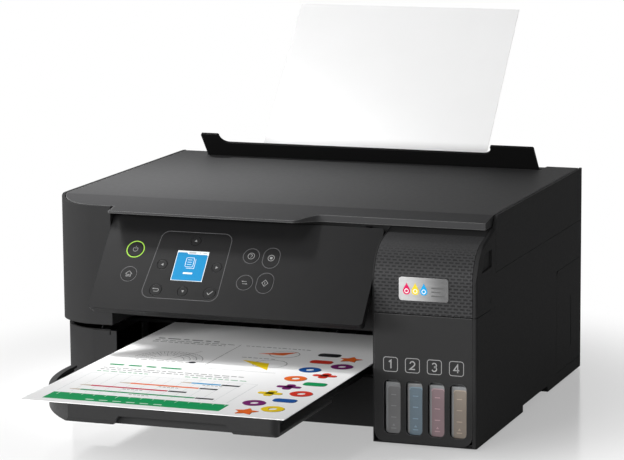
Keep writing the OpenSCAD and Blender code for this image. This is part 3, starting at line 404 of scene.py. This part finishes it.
panel_look = panel_material()
SLOT_LOOKS = {
    "body_plastic": grained("body_grain", (0.0262, 0.0262, 0.0265), 0.62, spec=0.01),
    "front_plastic": front_material(),
    "feeder_plastic": grained("feeder_grain", (0.010, 0.010, 0.0102), 0.55, spec=0.06),
    "tray_plastic": grained("tray_satin", (0.019, 0.019, 0.0193), 0.45),
    "lid_plastic": lid_material(),
    "panel_plastic": panel_look,
    "key_plastic": panel_look,
    "lcd": grained("lcd_bezel", (0.01, 0.01, 0.011), 0.2),
    "badge": badge_material(),
    "inner_plastic": grained("inner_black", (0.010, 0.010, 0.010), 0.55),
    "cap_plastic": grained("cap_black", (0.014, 0.014, 0.014), 0.45),
    "tank_plastic": tank_material(),
    "white_plastic": grained("pad_white", (0.78, 0.78, 0.78), 0.6, grain=500.0),
    "sheet_steel": metal("zinc_sheet", (0.55, 0.56, 0.58), 0.38, (1, 1, 0.2)),
    "rod_steel": metal("ground_rod", (0.62, 0.62, 0.64), 0.22, (0.05, 1, 1)),
    "roller": rubber("roller_rubber", (0.02, 0.02, 0.02), rings=9000.0),
    "pulley": metal("pulley_brass", (0.60, 0.47, 0.24), 0.35, (1, 0.1, 1)),
    "board": board_material(),
    "glass": glass_material(),
    "paper": paper_material(),
}
NODE_LOOKS = {
    "tank_cover": cover_material(),
    "feeder_guard": grained("guard_satin", (0.006, 0.006, 0.0061), 0.5, spec=0.03),
    "rubber_feet": rubber("foot_rubber", (0.015, 0.015, 0.015)),
}
for part in frame["record"]["subparts"]:
    mesh = frame["nodes"][part["node"]].data
    material = NODE_LOOKS.get(part["node"], SLOT_LOOKS[part["material_slot"]])
    if not mesh.materials:
        mesh.materials.append(material)
    for i in range(len(mesh.materials)):
        mesh.materials[i] = material


# ---------------------------------------------------------------- outlines and plates

def arc(cx, cy, r, start, end, steps=24):
    """Points along a circle, from one angle in degrees to another."""
    angles = [math.radians(start + (end - start) * i / steps) for i in range(steps + 1)]
    return [(cx + r * math.cos(a), cy + r * math.sin(a)) for a in angles]


def disc(cx, cy, r, steps=40):
    return arc(cx, cy, r, 0, 360, steps)[:-1]


def rect(x0, y0, x1, y1):
    return [(x0, y0), (x1, y0), (x1, y1), (x0, y1)]


def round_rect(x0, y0, x1, y1, r, steps=8):
    return (arc(x1 - r, y1 - r, r, 0, 90, steps) + arc(x0 + r, y1 - r, r, 90, 180, steps)
            + arc(x0 + r, y0 + r, r, 180, 270, steps) + arc(x1 - r, y0 + r, r, 270, 360, steps))


def stroke(points, width, closed=False):
    """Quads along a line, mitred at its corners."""
    tiny, sharpest = 1e-6, 0.35    # shorter pieces are skipped, and sharper mitres are cut back
    p = [Vector(point) for point in points]
    n = len(p)
    sides = []
    for i in range(n):
        before = p[i - 1] if i or closed else p[i]
        after = p[(i + 1) % n] if i < n - 1 or closed else p[i]
        come, go = p[i] - before, after - p[i]
        come = come.normalized() if come.length > tiny else go.normalized()
        go = go.normalized() if go.length > tiny else come
        way = (come + go).normalized() if (come + go).length > tiny else go
        mitre = Vector((-way.y, way.x))
        spread = max(sharpest, mitre.dot(Vector((-go.y, go.x))))
        sides.append(mitre * (width / 2 / spread))
    quads = []
    for i in range(n if closed else n - 1):
        j = (i + 1) % n
        corners = (p[i] - sides[i], p[j] - sides[j], p[j] + sides[j], p[i] + sides[i])
        quads.append([tuple(corner) for corner in corners])
    return quads


def ring(cx, cy, r, width, steps=48):
    return stroke(disc(cx, cy, r, steps), width, closed=True)


def moved(outlines, dx, dy, scale=1.0):
    return [[(x * scale + dx, y * scale + dy) for x, y in outline] for outline in outlines]


def signed_area(outline):
    """Twice the area, positive where the outline runs anticlockwise."""
    following = outline[1:] + outline[:1]
    return sum(a[0] * b[1] - b[0] * a[1] for a, b in zip(outline, following))


def faces_over(outline):
    """The corner numbers of the outline's faces: itself where it is a quad, else triangles."""
    faces = [(0, 1, 2, 3)]
    if len(outline) != 4:
        faces = tessellate_polygon([[Vector((x, y, 0)) for x, y in outline]])
    for face in faces:
        face = tuple(face)
        yield face if signed_area([outline[i] for i in face]) > 0 else face[::-1]


def plates(name, plane, outlines, low, high, material, body):
    """One piece of thin closed plates, between the heights low and high over a plane."""
    verts, faces = [], []
    for outline in outlines:
        if signed_area(outline) < 0:
            outline = outline[::-1]
        first, n = len(verts), len(outline)
        for height in (high, low):
            verts += [plane @ (Vector((x, y, height)) * MM) for x, y in outline]
        for face in faces_over(outline):
            faces.append(tuple(first + i for i in face))
            faces.append(tuple(first + n + i for i in face[::-1]))
        for i in range(n):
            j = (i + 1) % n
            faces.append((first + i, first + n + i, first + n + j, first + j))
    mesh = bpy.data.meshes.new(name)
    mesh.from_pydata(verts, [], faces)
    mesh.update()
    mesh.materials.append(material)
    ob = bpy.data.objects.new(name, mesh)
    bpy.context.scene.collection.objects.link(ob)
    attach(ob, body)


# ---------------------------------------------------------------- control panel

PANEL_TOP = 0, 32, 166                   # the middle of the panel's upper edge
PANEL_TILT = 50                          # degrees that its face is turned up from lying flat
PANEL = tilted_plane(*PANEL_TOP, PANEL_TILT)
LINE = 0.42                              # width of the printed lines
KEY_GAP = 0.45                           # from a key to the middle of the line round it
KEYS = {                                 # each key's middle and radius in the panel's plane
    "power": (-102.3, -31.4, 6.4), "home": (-102.3, -54.3, 6.3), "help": (-2.4, -31.6, 6.3),
    "stop": (14.7, -32.4, 6.3), "swap": (-2.4, -55.8, 6.3), "start": (14.7, -55.2, 6.3),
    "up": (-52.3, -20.5, 4.2), "down": (-52.3, -67.2, 4.2), "left": (-75.8, -43.9, 4.2),
    "right": (-28.8, -43.9, 4.2), "back": (-75.5, -67.2, 5), "ok": (-29.3, -67.2, 5),
}
LONG_KEY = 0.2, 2.4                      # what the stop and start keys add to their radius, across and up
PAD_R, PAD_RIGHT, PAD_TOP, PAD_FOOT = 7, -22, -13, -74.5
PAD_LEFT_TOP, PAD_LEFT_FOOT = -83, -87   # the line round the arrows is wider at its foot


def pad_outline():
    """The line round the screen and the arrows."""
    right, top, foot = PAD_RIGHT - PAD_R, PAD_TOP - PAD_R, PAD_FOOT + PAD_R
    steps = 10
    return (arc(right, top, PAD_R, 0, 90, steps) + arc(PAD_LEFT_TOP + PAD_R, top, PAD_R, 90, 180, steps)
            + arc(PAD_LEFT_FOOT + PAD_R, foot, PAD_R, 180, 270, steps)
            + arc(right, foot, PAD_R, 270, 360, steps))


def key_lines():
    """The printed lines round the pad and round five of the keys."""
    lines = stroke(pad_outline(), LINE, closed=True)
    for key in ("home", "help", "swap"):
        x, y, r = KEYS[key]
        lines += ring(x, y, r + KEY_GAP, LINE)
    for key in ("stop", "start"):
        x, y, r = KEYS[key]
        across, up = (r + more + KEY_GAP for more in LONG_KEY)
        outline = round_rect(x - across, y - up, x + across, y + up, r + KEY_GAP, 10)
        lines += stroke(outline, LINE, closed=True)
    return lines


def arrow(turn):
    """A small triangle that points up, turned by quarter turns."""
    outline = [(-1.15, -1.0), (1.15, -1.0), (0, 1.1)]
    for _ in range(turn):
        outline = [(-y, x) for x, y in outline]
    return [outline]


def house():
    roof = [(-2.9, 0.1), (0, 2.7), (2.9, 0.1)]
    walls = [(-1.9, 0.4), (-1.9, -2.2), (-0.6, -2.2), (-0.6, -0.6)]
    mirrored = [(-x, y) for x, y in reversed(walls)]
    return stroke(roof, 0.4) + stroke(walls + mirrored, 0.4)


def question():
    hook = arc(0, 0.55, 0.9, 170, -70, 14) + [(0, -0.5), (0, -0.8)]
    return ring(0, 0, 2.7, LINE, 36) + stroke(hook, 0.4) + [disc(0, -1.5, 0.28, 12)]


def swap_arrows():
    over = stroke([(-1.9, 1.0), (1.6, 1.0)], 0.38) + [[(-2.6, 1.0), (-1.5, 0.4), (-1.5, 1.7)]]
    under = stroke([(1.9, -1.1), (-1.6, -1.1)], 0.38) + [[(2.6, -1.1), (1.5, -1.75), (1.5, -0.45)]]
    return over + under


def back_arrow():
    line = [(-2.3, 1.1), (1.2, 1.1)] + arc(1.2, -0.1, 1.2, 90, -90, 10) + [(-1.7, -1.3)]
    return stroke(line, LINE) + [[(-3.1, 1.1), (-1.9, 0.3), (-1.9, 1.9)]]


ICONS = {
    "power": stroke(arc(0, 0, 2.0, 128, 412, 28), LINE) + stroke([(0, 0.5), (0, 2.9)], LINE),
    "home": house(),
    "help": question(),
    "stop": ring(0, 0, 2.6, 0.46, 36) + [round_rect(-1.05, -1.05, 1.05, 1.05, 0.3, 3)],
    "swap": swap_arrows(),
    "start": stroke([(0, 2.9), (2.5, 0), (0, -2.9), (-2.5, 0)], LINE, closed=True)
    + stroke([(0, -1.1), (0, 1.1)], LINE),
    "up": arrow(0), "down": arrow(2), "left": arrow(1), "right": arrow(3),
    "back": back_arrow(),
    "ok": stroke([(-2.2, 0.2), (-0.7, -1.5), (2.4, 1.9)], 0.6),
}


def print_panel():
    """The lines on the panel, the lit ring of the power key and the icons on the keys."""
    line_grey = ink("line_grey", (0.095, 0.095, 0.097))
    plates("panel_outlines", PANEL, key_lines(), -0.05, 0.05, line_grey, "panel")
    x, y, r = KEYS["power"]
    green = ink("ring_green", (0.22, 0.40, 0.05), 0.3, glow=0.24)
    plates("power_ring", PANEL, ring(x, y, r + 0.95, 0.85, 64), -0.05, 0.08, green,
           "panel")
    key_grey = ink("key_grey", (0.22, 0.22, 0.22))
    for key, icon in ICONS.items():
        x, y, _ = KEYS[key]
        plates("icon_" + key, PANEL, moved(icon, x, y), 0.05, 0.14, key_grey,
               "key_" + key)


def screen_page():
    """The picture on the screen: two sheets with lines, over a button."""
    page = stroke(round_rect(-56.4, -44.6, -49.6, -36.2, 1.2, 5), 0.34, closed=True)
    page += stroke([(-48.3, -37.3), (-48.3, -45.9), (-55.0, -45.9)], 0.34)
    for i in range(3):
        y = -38.2 - 2.1 * i
        page += stroke([(-55.0, y), (-51.2, y)], 0.32)
    return page + [round_rect(-56.4, -51.2, -48.4, -49.7, 0.5, 3)]


def light_screen():
    """The lit screen, in layers a little under the panel's face."""
    white = ink("screen_white", (0.52, 0.55, 0.56), 0.3, glow=0.20)
    blue = ink("screen_blue", (0.010, 0.15, 0.31), 0.25, glow=0.24)
    grey = ink("status_grey", (0.32, 0.33, 0.34), 0.3, glow=0.1)
    field = [(-65.1, -56.6), (-64.6, -57.0), (-39.6, -57.0), (-39.1, -56.6), (-39.1, -33.6),
             (-39.9, -33.0), (-56.2, -33.0), (-57.2, -31.6), (-64.4, -31.6), (-65.1, -32.2)]
    status = [rect(-55.6, -32.4, -49.6, -30.8), rect(-46.6, -32.0, -45.8, -31.0),
              rect(-43.4, -32.0, -40.2, -31.3)]
    layers = (("frame", [rect(-65.6, -57.4, -38.6, -30.0)], -0.32, -0.25, white),
              ("field", [field], -0.27, -0.21, blue),
              ("icon", screen_page(), -0.23, -0.17, white),
              ("status", status, -0.27, -0.20, grey))
    for name, outlines, low, high, material in layers:
        plates("screen_" + name, PANEL, outlines, low, high, material, "panel")


print_panel()
light_screen()

# ---------------------------------------------------------------- tank unit

FRONT = tilted_plane(0, 0, 0, 90)        # the upright front of the tank unit
TANK_MID, TANK_PITCH = 145.6, 17.9
TANKS = [TANK_MID + (i - 1.5) * TANK_PITCH for i in range(4)]
SIGHT_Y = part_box("ink_tanks")[0][1] / MM + DEPTH / 2    # the tanks' fronts, behind the windows
NUMBER_SHIFT = 1.2                       # the numbers stand a little left of the windows
NUMBER_Z, NUMBER_SCALE = 64.9, 0.95
NUMBER_BOX = -5.75, 59.3, 5.75, 70.6
NUMBERS = (
    stroke([(-1.5, 2.0), (0.35, 3.4), (0.35, -3.4)], 1.0),
    stroke([(-2.0, 1.6)] + arc(0, 1.4, 2.0, 170, -35, 12) + [(-2.1, -3.0), (2.3, -3.0)], 1.0),
    stroke(arc(-0.1, 1.6, 1.75, 160, -80, 12) + arc(-0.1, -1.5, 1.95, 80, -160, 12), 1.0),
    stroke([(1.0, -3.4), (1.0, 3.3), (-2.3, -1.4), (2.4, -1.4)], 0.95),
)
LEVELS = (("grey", (0.130, 0.130, 0.132)), ("blue", (0.120, 0.165, 0.200)),
          ("pink", (0.205, 0.140, 0.152)), ("sand", (0.200, 0.168, 0.138)))
LEVEL_BOX = -4.4, 6.2, 6.0, 47.0
TICK_Z = 13.2, 22.1, 31.2, 40.1
DROP_X, DROP_Z, DROP_PITCH, DROP_SCALE = 131.0, 123.6, 7.0, 1.32
DROPS = (("crimson", (0.56, 0.01, 0.09)), ("gold", (0.72, 0.55, 0.03)), ("blue", (0.01, 0.30, 0.62)))


def number_tanks():
    """A framed number over each window."""
    labels = []
    for tank, number in zip(TANKS, NUMBERS):
        x = tank - NUMBER_SHIFT
        box = stroke(round_rect(*NUMBER_BOX, 2.0, 6), 0.52, closed=True)
        labels += moved(box, x, 0) + moved(number, x, NUMBER_Z, NUMBER_SCALE)
    plates("tank_numbers", FRONT, labels, -0.05, 0.06, ink("label_grey", (0.27, 0.27, 0.27)),
           "base")


def fill_tanks():
    """The ink behind each window, with its ticks, a small triangle and a painted highlight along the rounded
    top of the ink over it.
    """
    triangle = [(-0.9, 15.2), (1.5, 15.2), (0.3, 16.9)]
    ticks = [rect(-1.9, z - 0.35, 2.4, z + 0.35) for z in TICK_Z] + [triangle]
    # painted highlight: a lighter line along the bar's rounded top, where it faces up to the light
    edge = stroke(arc(-2.4, 45.0, 2.0, 180, 90, 6) + arc(4.0, 45.0, 2.0, 90, 0, 6), 0.7)
    for tank, (name, color) in zip(TANKS, LEVELS):
        lit = ink("tick_" + name, tuple(min(1, c * 1.9) for c in color))
        layers = (("ink_level_", [round_rect(*LEVEL_BOX, 1.0, 4)], -0.02, 0.06, level_material(name, color)),
                  ("level_marks_", ticks, 0.0, 0.28, lit),
                  ("level_top_highlight_", edge, 0.0, 0.20, lit))
        for kind, outlines, low, high, material in layers:
            plates(kind + name, FRONT, moved(outlines, tank, 0), low - SIGHT_Y, high - SIGHT_Y, material,
                   "base")


def print_badge():
    """Three plain drops and three short lines on the silver plate."""
    left = [(-2.1, 1.2), (-1.4, 2.7), (-0.5, 4.2)]
    right = [(-x, y) for x, y in reversed(left)]
    drop = [(0, 5.4)] + right + arc(0, 0.4, 2.25, 20, -200, 20) + left
    rims = []
    for i, (name, color) in enumerate(DROPS):
        x = DROP_X + i * DROP_PITCH
        plates("badge_drop_" + name, FRONT, moved([drop], x, DROP_Z, DROP_SCALE), 0.57, 0.68,
               ink("badge_" + name, color, 0.35), "tank_cover")
        rims += ring(x, DROP_Z + 0.5, 1.5, 0.6, 24)
    plates("badge_rims", FRONT, rims, 0.60, 0.72, ink("badge_white", (0.75, 0.75, 0.75), 0.35),
           "tank_cover")
    lines = [round_rect(151.0, z, end, z + 1.0, 0.4, 3)
             for z, end in ((120.6, 161.6), (123.7, 158.6), (126.8, 161.6))]
    plates("badge_lines", FRONT, lines, 0.57, 0.66, ink("badge_dark", (0.10, 0.10, 0.10), 0.4),
           "tank_cover")


number_tanks()
fill_tanks()
print_badge()

# ---------------------------------------------------------------- printed sheet

SHEET_LEFT, SHEET_FRONT, SHEET_TOP = -111, -186, 62.0    # the sheet's near left corner, on its face
SHEET = Matrix.Translation(at(SHEET_LEFT, SHEET_FRONT, SHEET_TOP))
GREEN, CRIMSON, ORANGE = (0.003, 0.26, 0.082), (0.48, 0.003, 0.04), (0.74, 0.13, 0.015)
BLUE, SKY, YELLOW = (0.006, 0.075, 0.30), (0.006, 0.30, 0.60), (0.80, 0.58, 0.010)
PURPLE, RED, BLACK = (0.15, 0.010, 0.12), (0.60, 0.03, 0.015), (0.012, 0.012, 0.014)
BARS = (                                 # name, ends, place up the sheet, colour
    ("green_bar", 29, 122, 43.6, GREEN), ("crimson_bar", 31, 94, 58.4, CRIMSON),
    ("orange_bar", 57, 113, 74.0, ORANGE), ("sky_bar", 101, 125, 89.2, SKY),
)
BLACK_ROWS = (                           # ends, place up the sheet, height and seed of rows of dashes
    (14, 132, 118.6, 1.5, 3), (14, 122, 112.8, 1.5, 4), (12, 82, 226, 1.4, 5), (12, 76, 220.5, 1.4, 6),
    (92, 150, 226, 1.3, 7), (12, 66, 232.5, 2.6, 8), (104, 132, 186, 1.2, 10),
)
GREEN_ROWS = ((14, 76, 129, 4.2, 9), (88, 140, 106.4, 1.5, 12), (14, 60, 106.2, 1.5, 13))
FAN_ROW = (26, 72, 153.4, 1.5, 14)
BAR_HALF, BAR_END_HALF = 1.7, 1.9        # half the height of a bar and of its black end
BAND_FOOT, BAND_TOP = 10, 31
GRID_FOOT, GRID_TOP, GRID_LEFT, GRID_RIGHT = 36, 99.2, 13, 151
FAN_X, FAN_Y = 50, 160
FAN_INNER, FAN_R, FAN_STEP = 14, 29, 5   # radii of the fan's arcs
FAN_HUB, FAN_RAYS, RAY_TURN = 21, 25, 6.5    # where short rays start, their number, degrees between them
TOKENS = (
    (174, 16, ORANGE, "star"), (190, 29, YELLOW, "ring"), (170, 43, PURPLE, "ring"),
    (189, 57, BLUE, "slab"), (170, 76, YELLOW, "cross"), (193, 81, RED, "ring"),
    (176, 100, PURPLE, "cross"), (192, 114, GREEN, "slab"), (171, 128, ORANGE, "ring"),
    (189, 144, RED, "cross"), (171, 160, BLUE, "ring"), (191, 178, PURPLE, "ring"),
    (170, 189, RED, "slab"), (189, 204, ORANGE, "star"), (168, 214, BLACK, "slab"),
)


def print_on_sheet(name, outlines, color, height=0.03):
    plates("print_" + name, SHEET, outlines, -0.02, height, ink("print_" + name, color, 0.6),
           "printed_sheet")


def dashes(x0, x1, y, height, seed):
    """A row of plain dashes of uneven length, in place of a line of print."""
    rng = random.Random(seed)
    row, x = [], x0
    while x < x1 - height:
        length = rng.uniform(1.6, 4.6) * height
        row.append(round_rect(x, y, min(x + length, x1), y + height, height * 0.4, 3))
        x += length + height * 0.9
    return row


def print_band():
    """The broad green band along the front, with a scale and dots."""
    print_on_sheet("band", [rect(13, BAND_FOOT, 155, BAND_TOP)], GREEN)
    marks = []
    for i in range(15):
        x, length = 18 + 9.6 * i, 7 if i % 5 == 0 else 4.2
        marks.append(rect(x, BAND_TOP - length, x + 0.6, BAND_TOP - 0.4))
    marks += [round_rect(46 + 11 * i, 14.2, 53 + 11 * i, 16.2, 0.9, 4) for i in range(6)]
    print_on_sheet("band_marks", marks, (0.62, 0.78, 0.66), 0.05)


def print_bars():
    """Four coloured bars with black ends and pale tips over a grid; returns the notes under them."""
    ends, tips, notes = [], [], []
    for name, x0, x1, y, color in BARS:
        print_on_sheet(name, [rect(x0, y - BAR_HALF, x1, y + BAR_HALF)], color)
        ends.append(rect(x1 + 0.8, y - BAR_END_HALF, x1 + 15.5, y + BAR_END_HALF))
        tip, foot = x0 - 9, x0 - 0.4
        tips.append([(foot, y - BAR_HALF), (foot, y + BAR_HALF), (tip, y + 0.5), (tip, y - 0.5)])
        for k in range(5):
            x = x0 + (x1 - x0) * 0.45 + 3.4 * k
            notes.append(rect(x, y - 5.0, x + 2.4, y - 3.9))
    print_on_sheet("bar_ends", ends, BLACK)
    print_on_sheet("bar_tips", tips, (0.50, 0.40, 0.31))
    grid = [rect(GRID_LEFT, GRID_TOP, GRID_RIGHT, GRID_TOP + 0.4),
            rect(GRID_RIGHT, GRID_FOOT, GRID_RIGHT + 0.4, GRID_TOP + 0.4)]
    for i in range(12):
        x = GRID_LEFT + 11.5 * i
        grid.append(rect(x, GRID_FOOT, x + 0.25, GRID_TOP))
    print_on_sheet("grid", grid, (0.52, 0.54, 0.54), 0.02)
    return notes


def print_fan():
    """A fan of arcs and rays, and the two lines that part the sheet's upper half."""
    def on_ray(r, angle):
        return FAN_X + r * math.cos(angle), FAN_Y + r * math.sin(angle)

    fan = []
    for r in range(FAN_INNER, FAN_R + 1, FAN_STEP):
        fan += stroke(arc(FAN_X, FAN_Y, r, 8, 172, 40), 0.35)
    for k in range(FAN_RAYS):
        angle = math.radians(12 + k * RAY_TURN)
        fan += stroke([on_ray(FAN_INNER if k % 3 == 0 else FAN_HUB, angle), on_ray(FAN_R, angle)], 0.3)
    fan += stroke([(FAN_X - 32, FAN_Y), (FAN_X + 32, FAN_Y)], 0.4)
    fan += stroke([(FAN_X, FAN_Y), (66, 196)], 0.4) + dashes(*FAN_ROW)
    fan += [rect(86.6, 150, 87.0, 229), rect(12, 140.2, 150, 140.6)]
    print_on_sheet("fan", fan, (0.14, 0.14, 0.14))
    print_on_sheet("fan_dot", [disc(74, 155.6, 3.0)], BLACK)


def print_wedges():
    """Two thin circles, each with a coloured wedge."""
    circles = ring(133, 206, 12, 0.5) + ring(134, 170, 13.5, 0.5)
    print_on_sheet("circles", circles, (0.12, 0.12, 0.12))
    print_on_sheet("wedge_orange", [[(112, 203), (141, 216), (133, 202)]], ORANGE, 0.04)
    print_on_sheet("wedge_yellow", [[(108, 177), (133, 171), (140, 148)]], YELLOW, 0.04)


def star():
    points = []
    for k in range(10):
        r, angle = 9.8 if k % 2 == 0 else 5.2, math.radians(90 + 36 * k)
        points.append((r * math.cos(angle), r * math.sin(angle)))
    return [points]


TOKEN_SHAPES = {
    "ring": ring(0, 0, 6.0, 5.4, 32),
    "slab": [round_rect(-9, -5.2, 9, 5.2, 3.4, 6)],
    "cross": [round_rect(-9.5, -3, 9.5, 3, 2.2, 5), round_rect(-3.2, -8.5, 3.2, 8.5, 2.2, 5)],
    "star": star(),
}


def print_tokens():
    """The column of tokens along the right edge, each over a darker shade of itself."""
    for i, (x, y, color, kind) in enumerate(TOKENS):
        shade = tuple(c * 0.28 for c in color)
        print_on_sheet(f"shade_t{i}", moved(TOKEN_SHAPES[kind], x + 0.9, y - 1.0), shade, 0.02)
        print_on_sheet(f"token_t{i}", moved(TOKEN_SHAPES[kind], x, y), color, 0.05)


print_band()
small_print = print_bars()
for row in BLACK_ROWS:
    small_print += dashes(*row)
print_on_sheet("notes", small_print, (0.10, 0.10, 0.10))
print_on_sheet("green_notes", [dash for row in GREEN_ROWS for dash in dashes(*row)], GREEN)
print_fan()
print_wedges()
print_tokens()

# ---------------------------------------------------------------- studio, in metres

WORLD_LIGHT = 0.09     # strength of the world's light on the object; the background itself is plain white
FLOOR = 6.0            # half the width of the floor
NEAR, FAR = 0.22, 0.42    # distances between which the floor turns from shaded to background white
KEEP = 0.40            # share of plain white in the floor even close to the object
CAMERA_AT = (0.8044, -2.2173, 0.5457)
CAMERA_AIM = (-0.0092, -0.0035, 0.1362)
CAMERA_ROLL = -0.46    # degrees
CAMERA_LENS = 163.4    # millimetres, on a sensor 36 mm wide


def shows_white(tree):
    """1 for the rays that see the white background: camera, glossy and transmission rays."""
    rays = tree.nodes.new("ShaderNodeLightPath")
    seen = Value(tree, rays.outputs["Is Camera Ray"])
    for kind in ("Is Glossy Ray", "Is Transmission Ray"):
        seen = seen.max(Value(tree, rays.outputs[kind]))
    return seen


def white_light(tree, kind, strength):
    """A white Background or Emission shader."""
    node = tree.nodes.new("ShaderNode" + kind)
    node.inputs["Color"].default_value = (1, 1, 1, 1)
    node.inputs["Strength"].default_value = strength
    return node.outputs[0]


def blend(tree, share, first, second, output):
    """Sends a mix of two shaders to the tree's output."""
    node = tree.nodes.new("ShaderNodeMixShader")
    for socket, source in zip(node.inputs, (share.out, first, second)):
        tree.links.new(source, socket)
    tree.links.new(node.outputs[0], output.inputs["Surface"])


def make_world():
    """Dim even light on the object, in front of a white background."""
    world = bpy.data.worlds.new("studio")
    bpy.context.scene.world = world
    world.use_nodes = True
    tree = world.node_tree
    tree.nodes.clear()
    blend(tree, shows_white(tree), white_light(tree, "Background", WORLD_LIGHT),
          white_light(tree, "Background", 1.0), tree.nodes.new("ShaderNodeOutputWorld"))


def floor_material():
    """Pale and glossy; it shows the object's shadow and turns background white further out."""
    look = Look("floor_white", (0.78, 0.78, 0.78), 0.13)
    look.mottle(0.01, 4.0)
    reach = (look.x * look.x + look.y * look.y).power(0.5)
    share = shows_white(look.tree) * reach.ramp(NEAR, FAR, KEEP, 1.0)
    blend(look.tree, share, look.shader.outputs[0], white_light(look.tree, "Emission", 1.0),
          look.tree.nodes["Material Output"])
    return look.material


def make_floor():
    mesh = bpy.data.meshes.new("studio_floor")
    mesh.from_pydata([(x, y, 0) for x, y in rect(-FLOOR, -FLOOR, FLOOR, FLOOR)], [], [(0, 1, 2, 3)])
    mesh.materials.append(floor_material())
    floor = bpy.data.objects.new("studio_floor", mesh)
    bpy.context.scene.collection.objects.link(floor)


def lamp(name, kind, place, target, power):
    """A lamp at place, aimed at target and unseen by the camera."""
    data = bpy.data.lights.new(name, kind)
    data.energy = power
    holder = bpy.data.objects.new(name, data)
    holder.location = place
    holder.rotation_euler = (Vector(target) - Vector(place)).to_track_quat("-Z", "Y").to_euler()
    holder.visible_camera = False
    bpy.context.scene.collection.objects.link(holder)
    return data


def softbox(name, place, target, size, power):
    data = lamp(name, "AREA", place, target, power)
    data.shape = "RECTANGLE"
    data.size, data.size_y = size


def spot(name, place, target, cone, power):
    """A snooted lamp: bright in the middle of its cone and fading to its edge."""
    data = lamp(name, "SPOT", place, target, power)
    data.spot_size = math.radians(cone)
    data.spot_blend = 1.0
    data.shadow_soft_size = 0.12


def make_camera():
    data = bpy.data.cameras.new("camera")
    data.sensor_width = 36.0
    data.lens = CAMERA_LENS
    data.clip_end = 50
    camera = bpy.data.objects.new("camera", data)
    camera.location = CAMERA_AT
    aim = (Vector(CAMERA_AIM) - camera.location).to_track_quat("-Z", "Y")
    roll = Matrix.Rotation(math.radians(CAMERA_ROLL), 3, "Z").to_quaternion()
    camera.rotation_euler = (aim @ roll).to_euler()
    bpy.context.scene.collection.objects.link(camera)
    bpy.context.scene.camera = camera


make_world()
make_floor()
spot("key_lid", (-0.55, -0.02, 1.0), (-0.15, -0.04, 0.177), 26, 92)
softbox("front_left", (-0.42, -0.34, 0.58), (-0.10, -0.12, 0.13), (0.22, 0.22), 0.60)
softbox("fill_left", (-1.0, -1.1, 0.35), (-0.1, 0, 0.1), (0.5, 0.4), 17)
softbox("fill_front", (-0.2, -2.4, 0.6), (0, 0, 0.1), (1.6, 1.0), 38)
spot("sheet_top", (0.02, -0.34, 1.25), (0.0, -0.29, 0.06), 24, 13)
# the lamp behind stays under the lid's plane, so that no light of it glances off the lid
softbox("fill_back", (-0.4, 2.0, 0.09), (0, 0.2, 0.09), (1.2, 0.14), 14)
make_camera()
bpy.context.scene.view_settings.view_transform = "Standard"
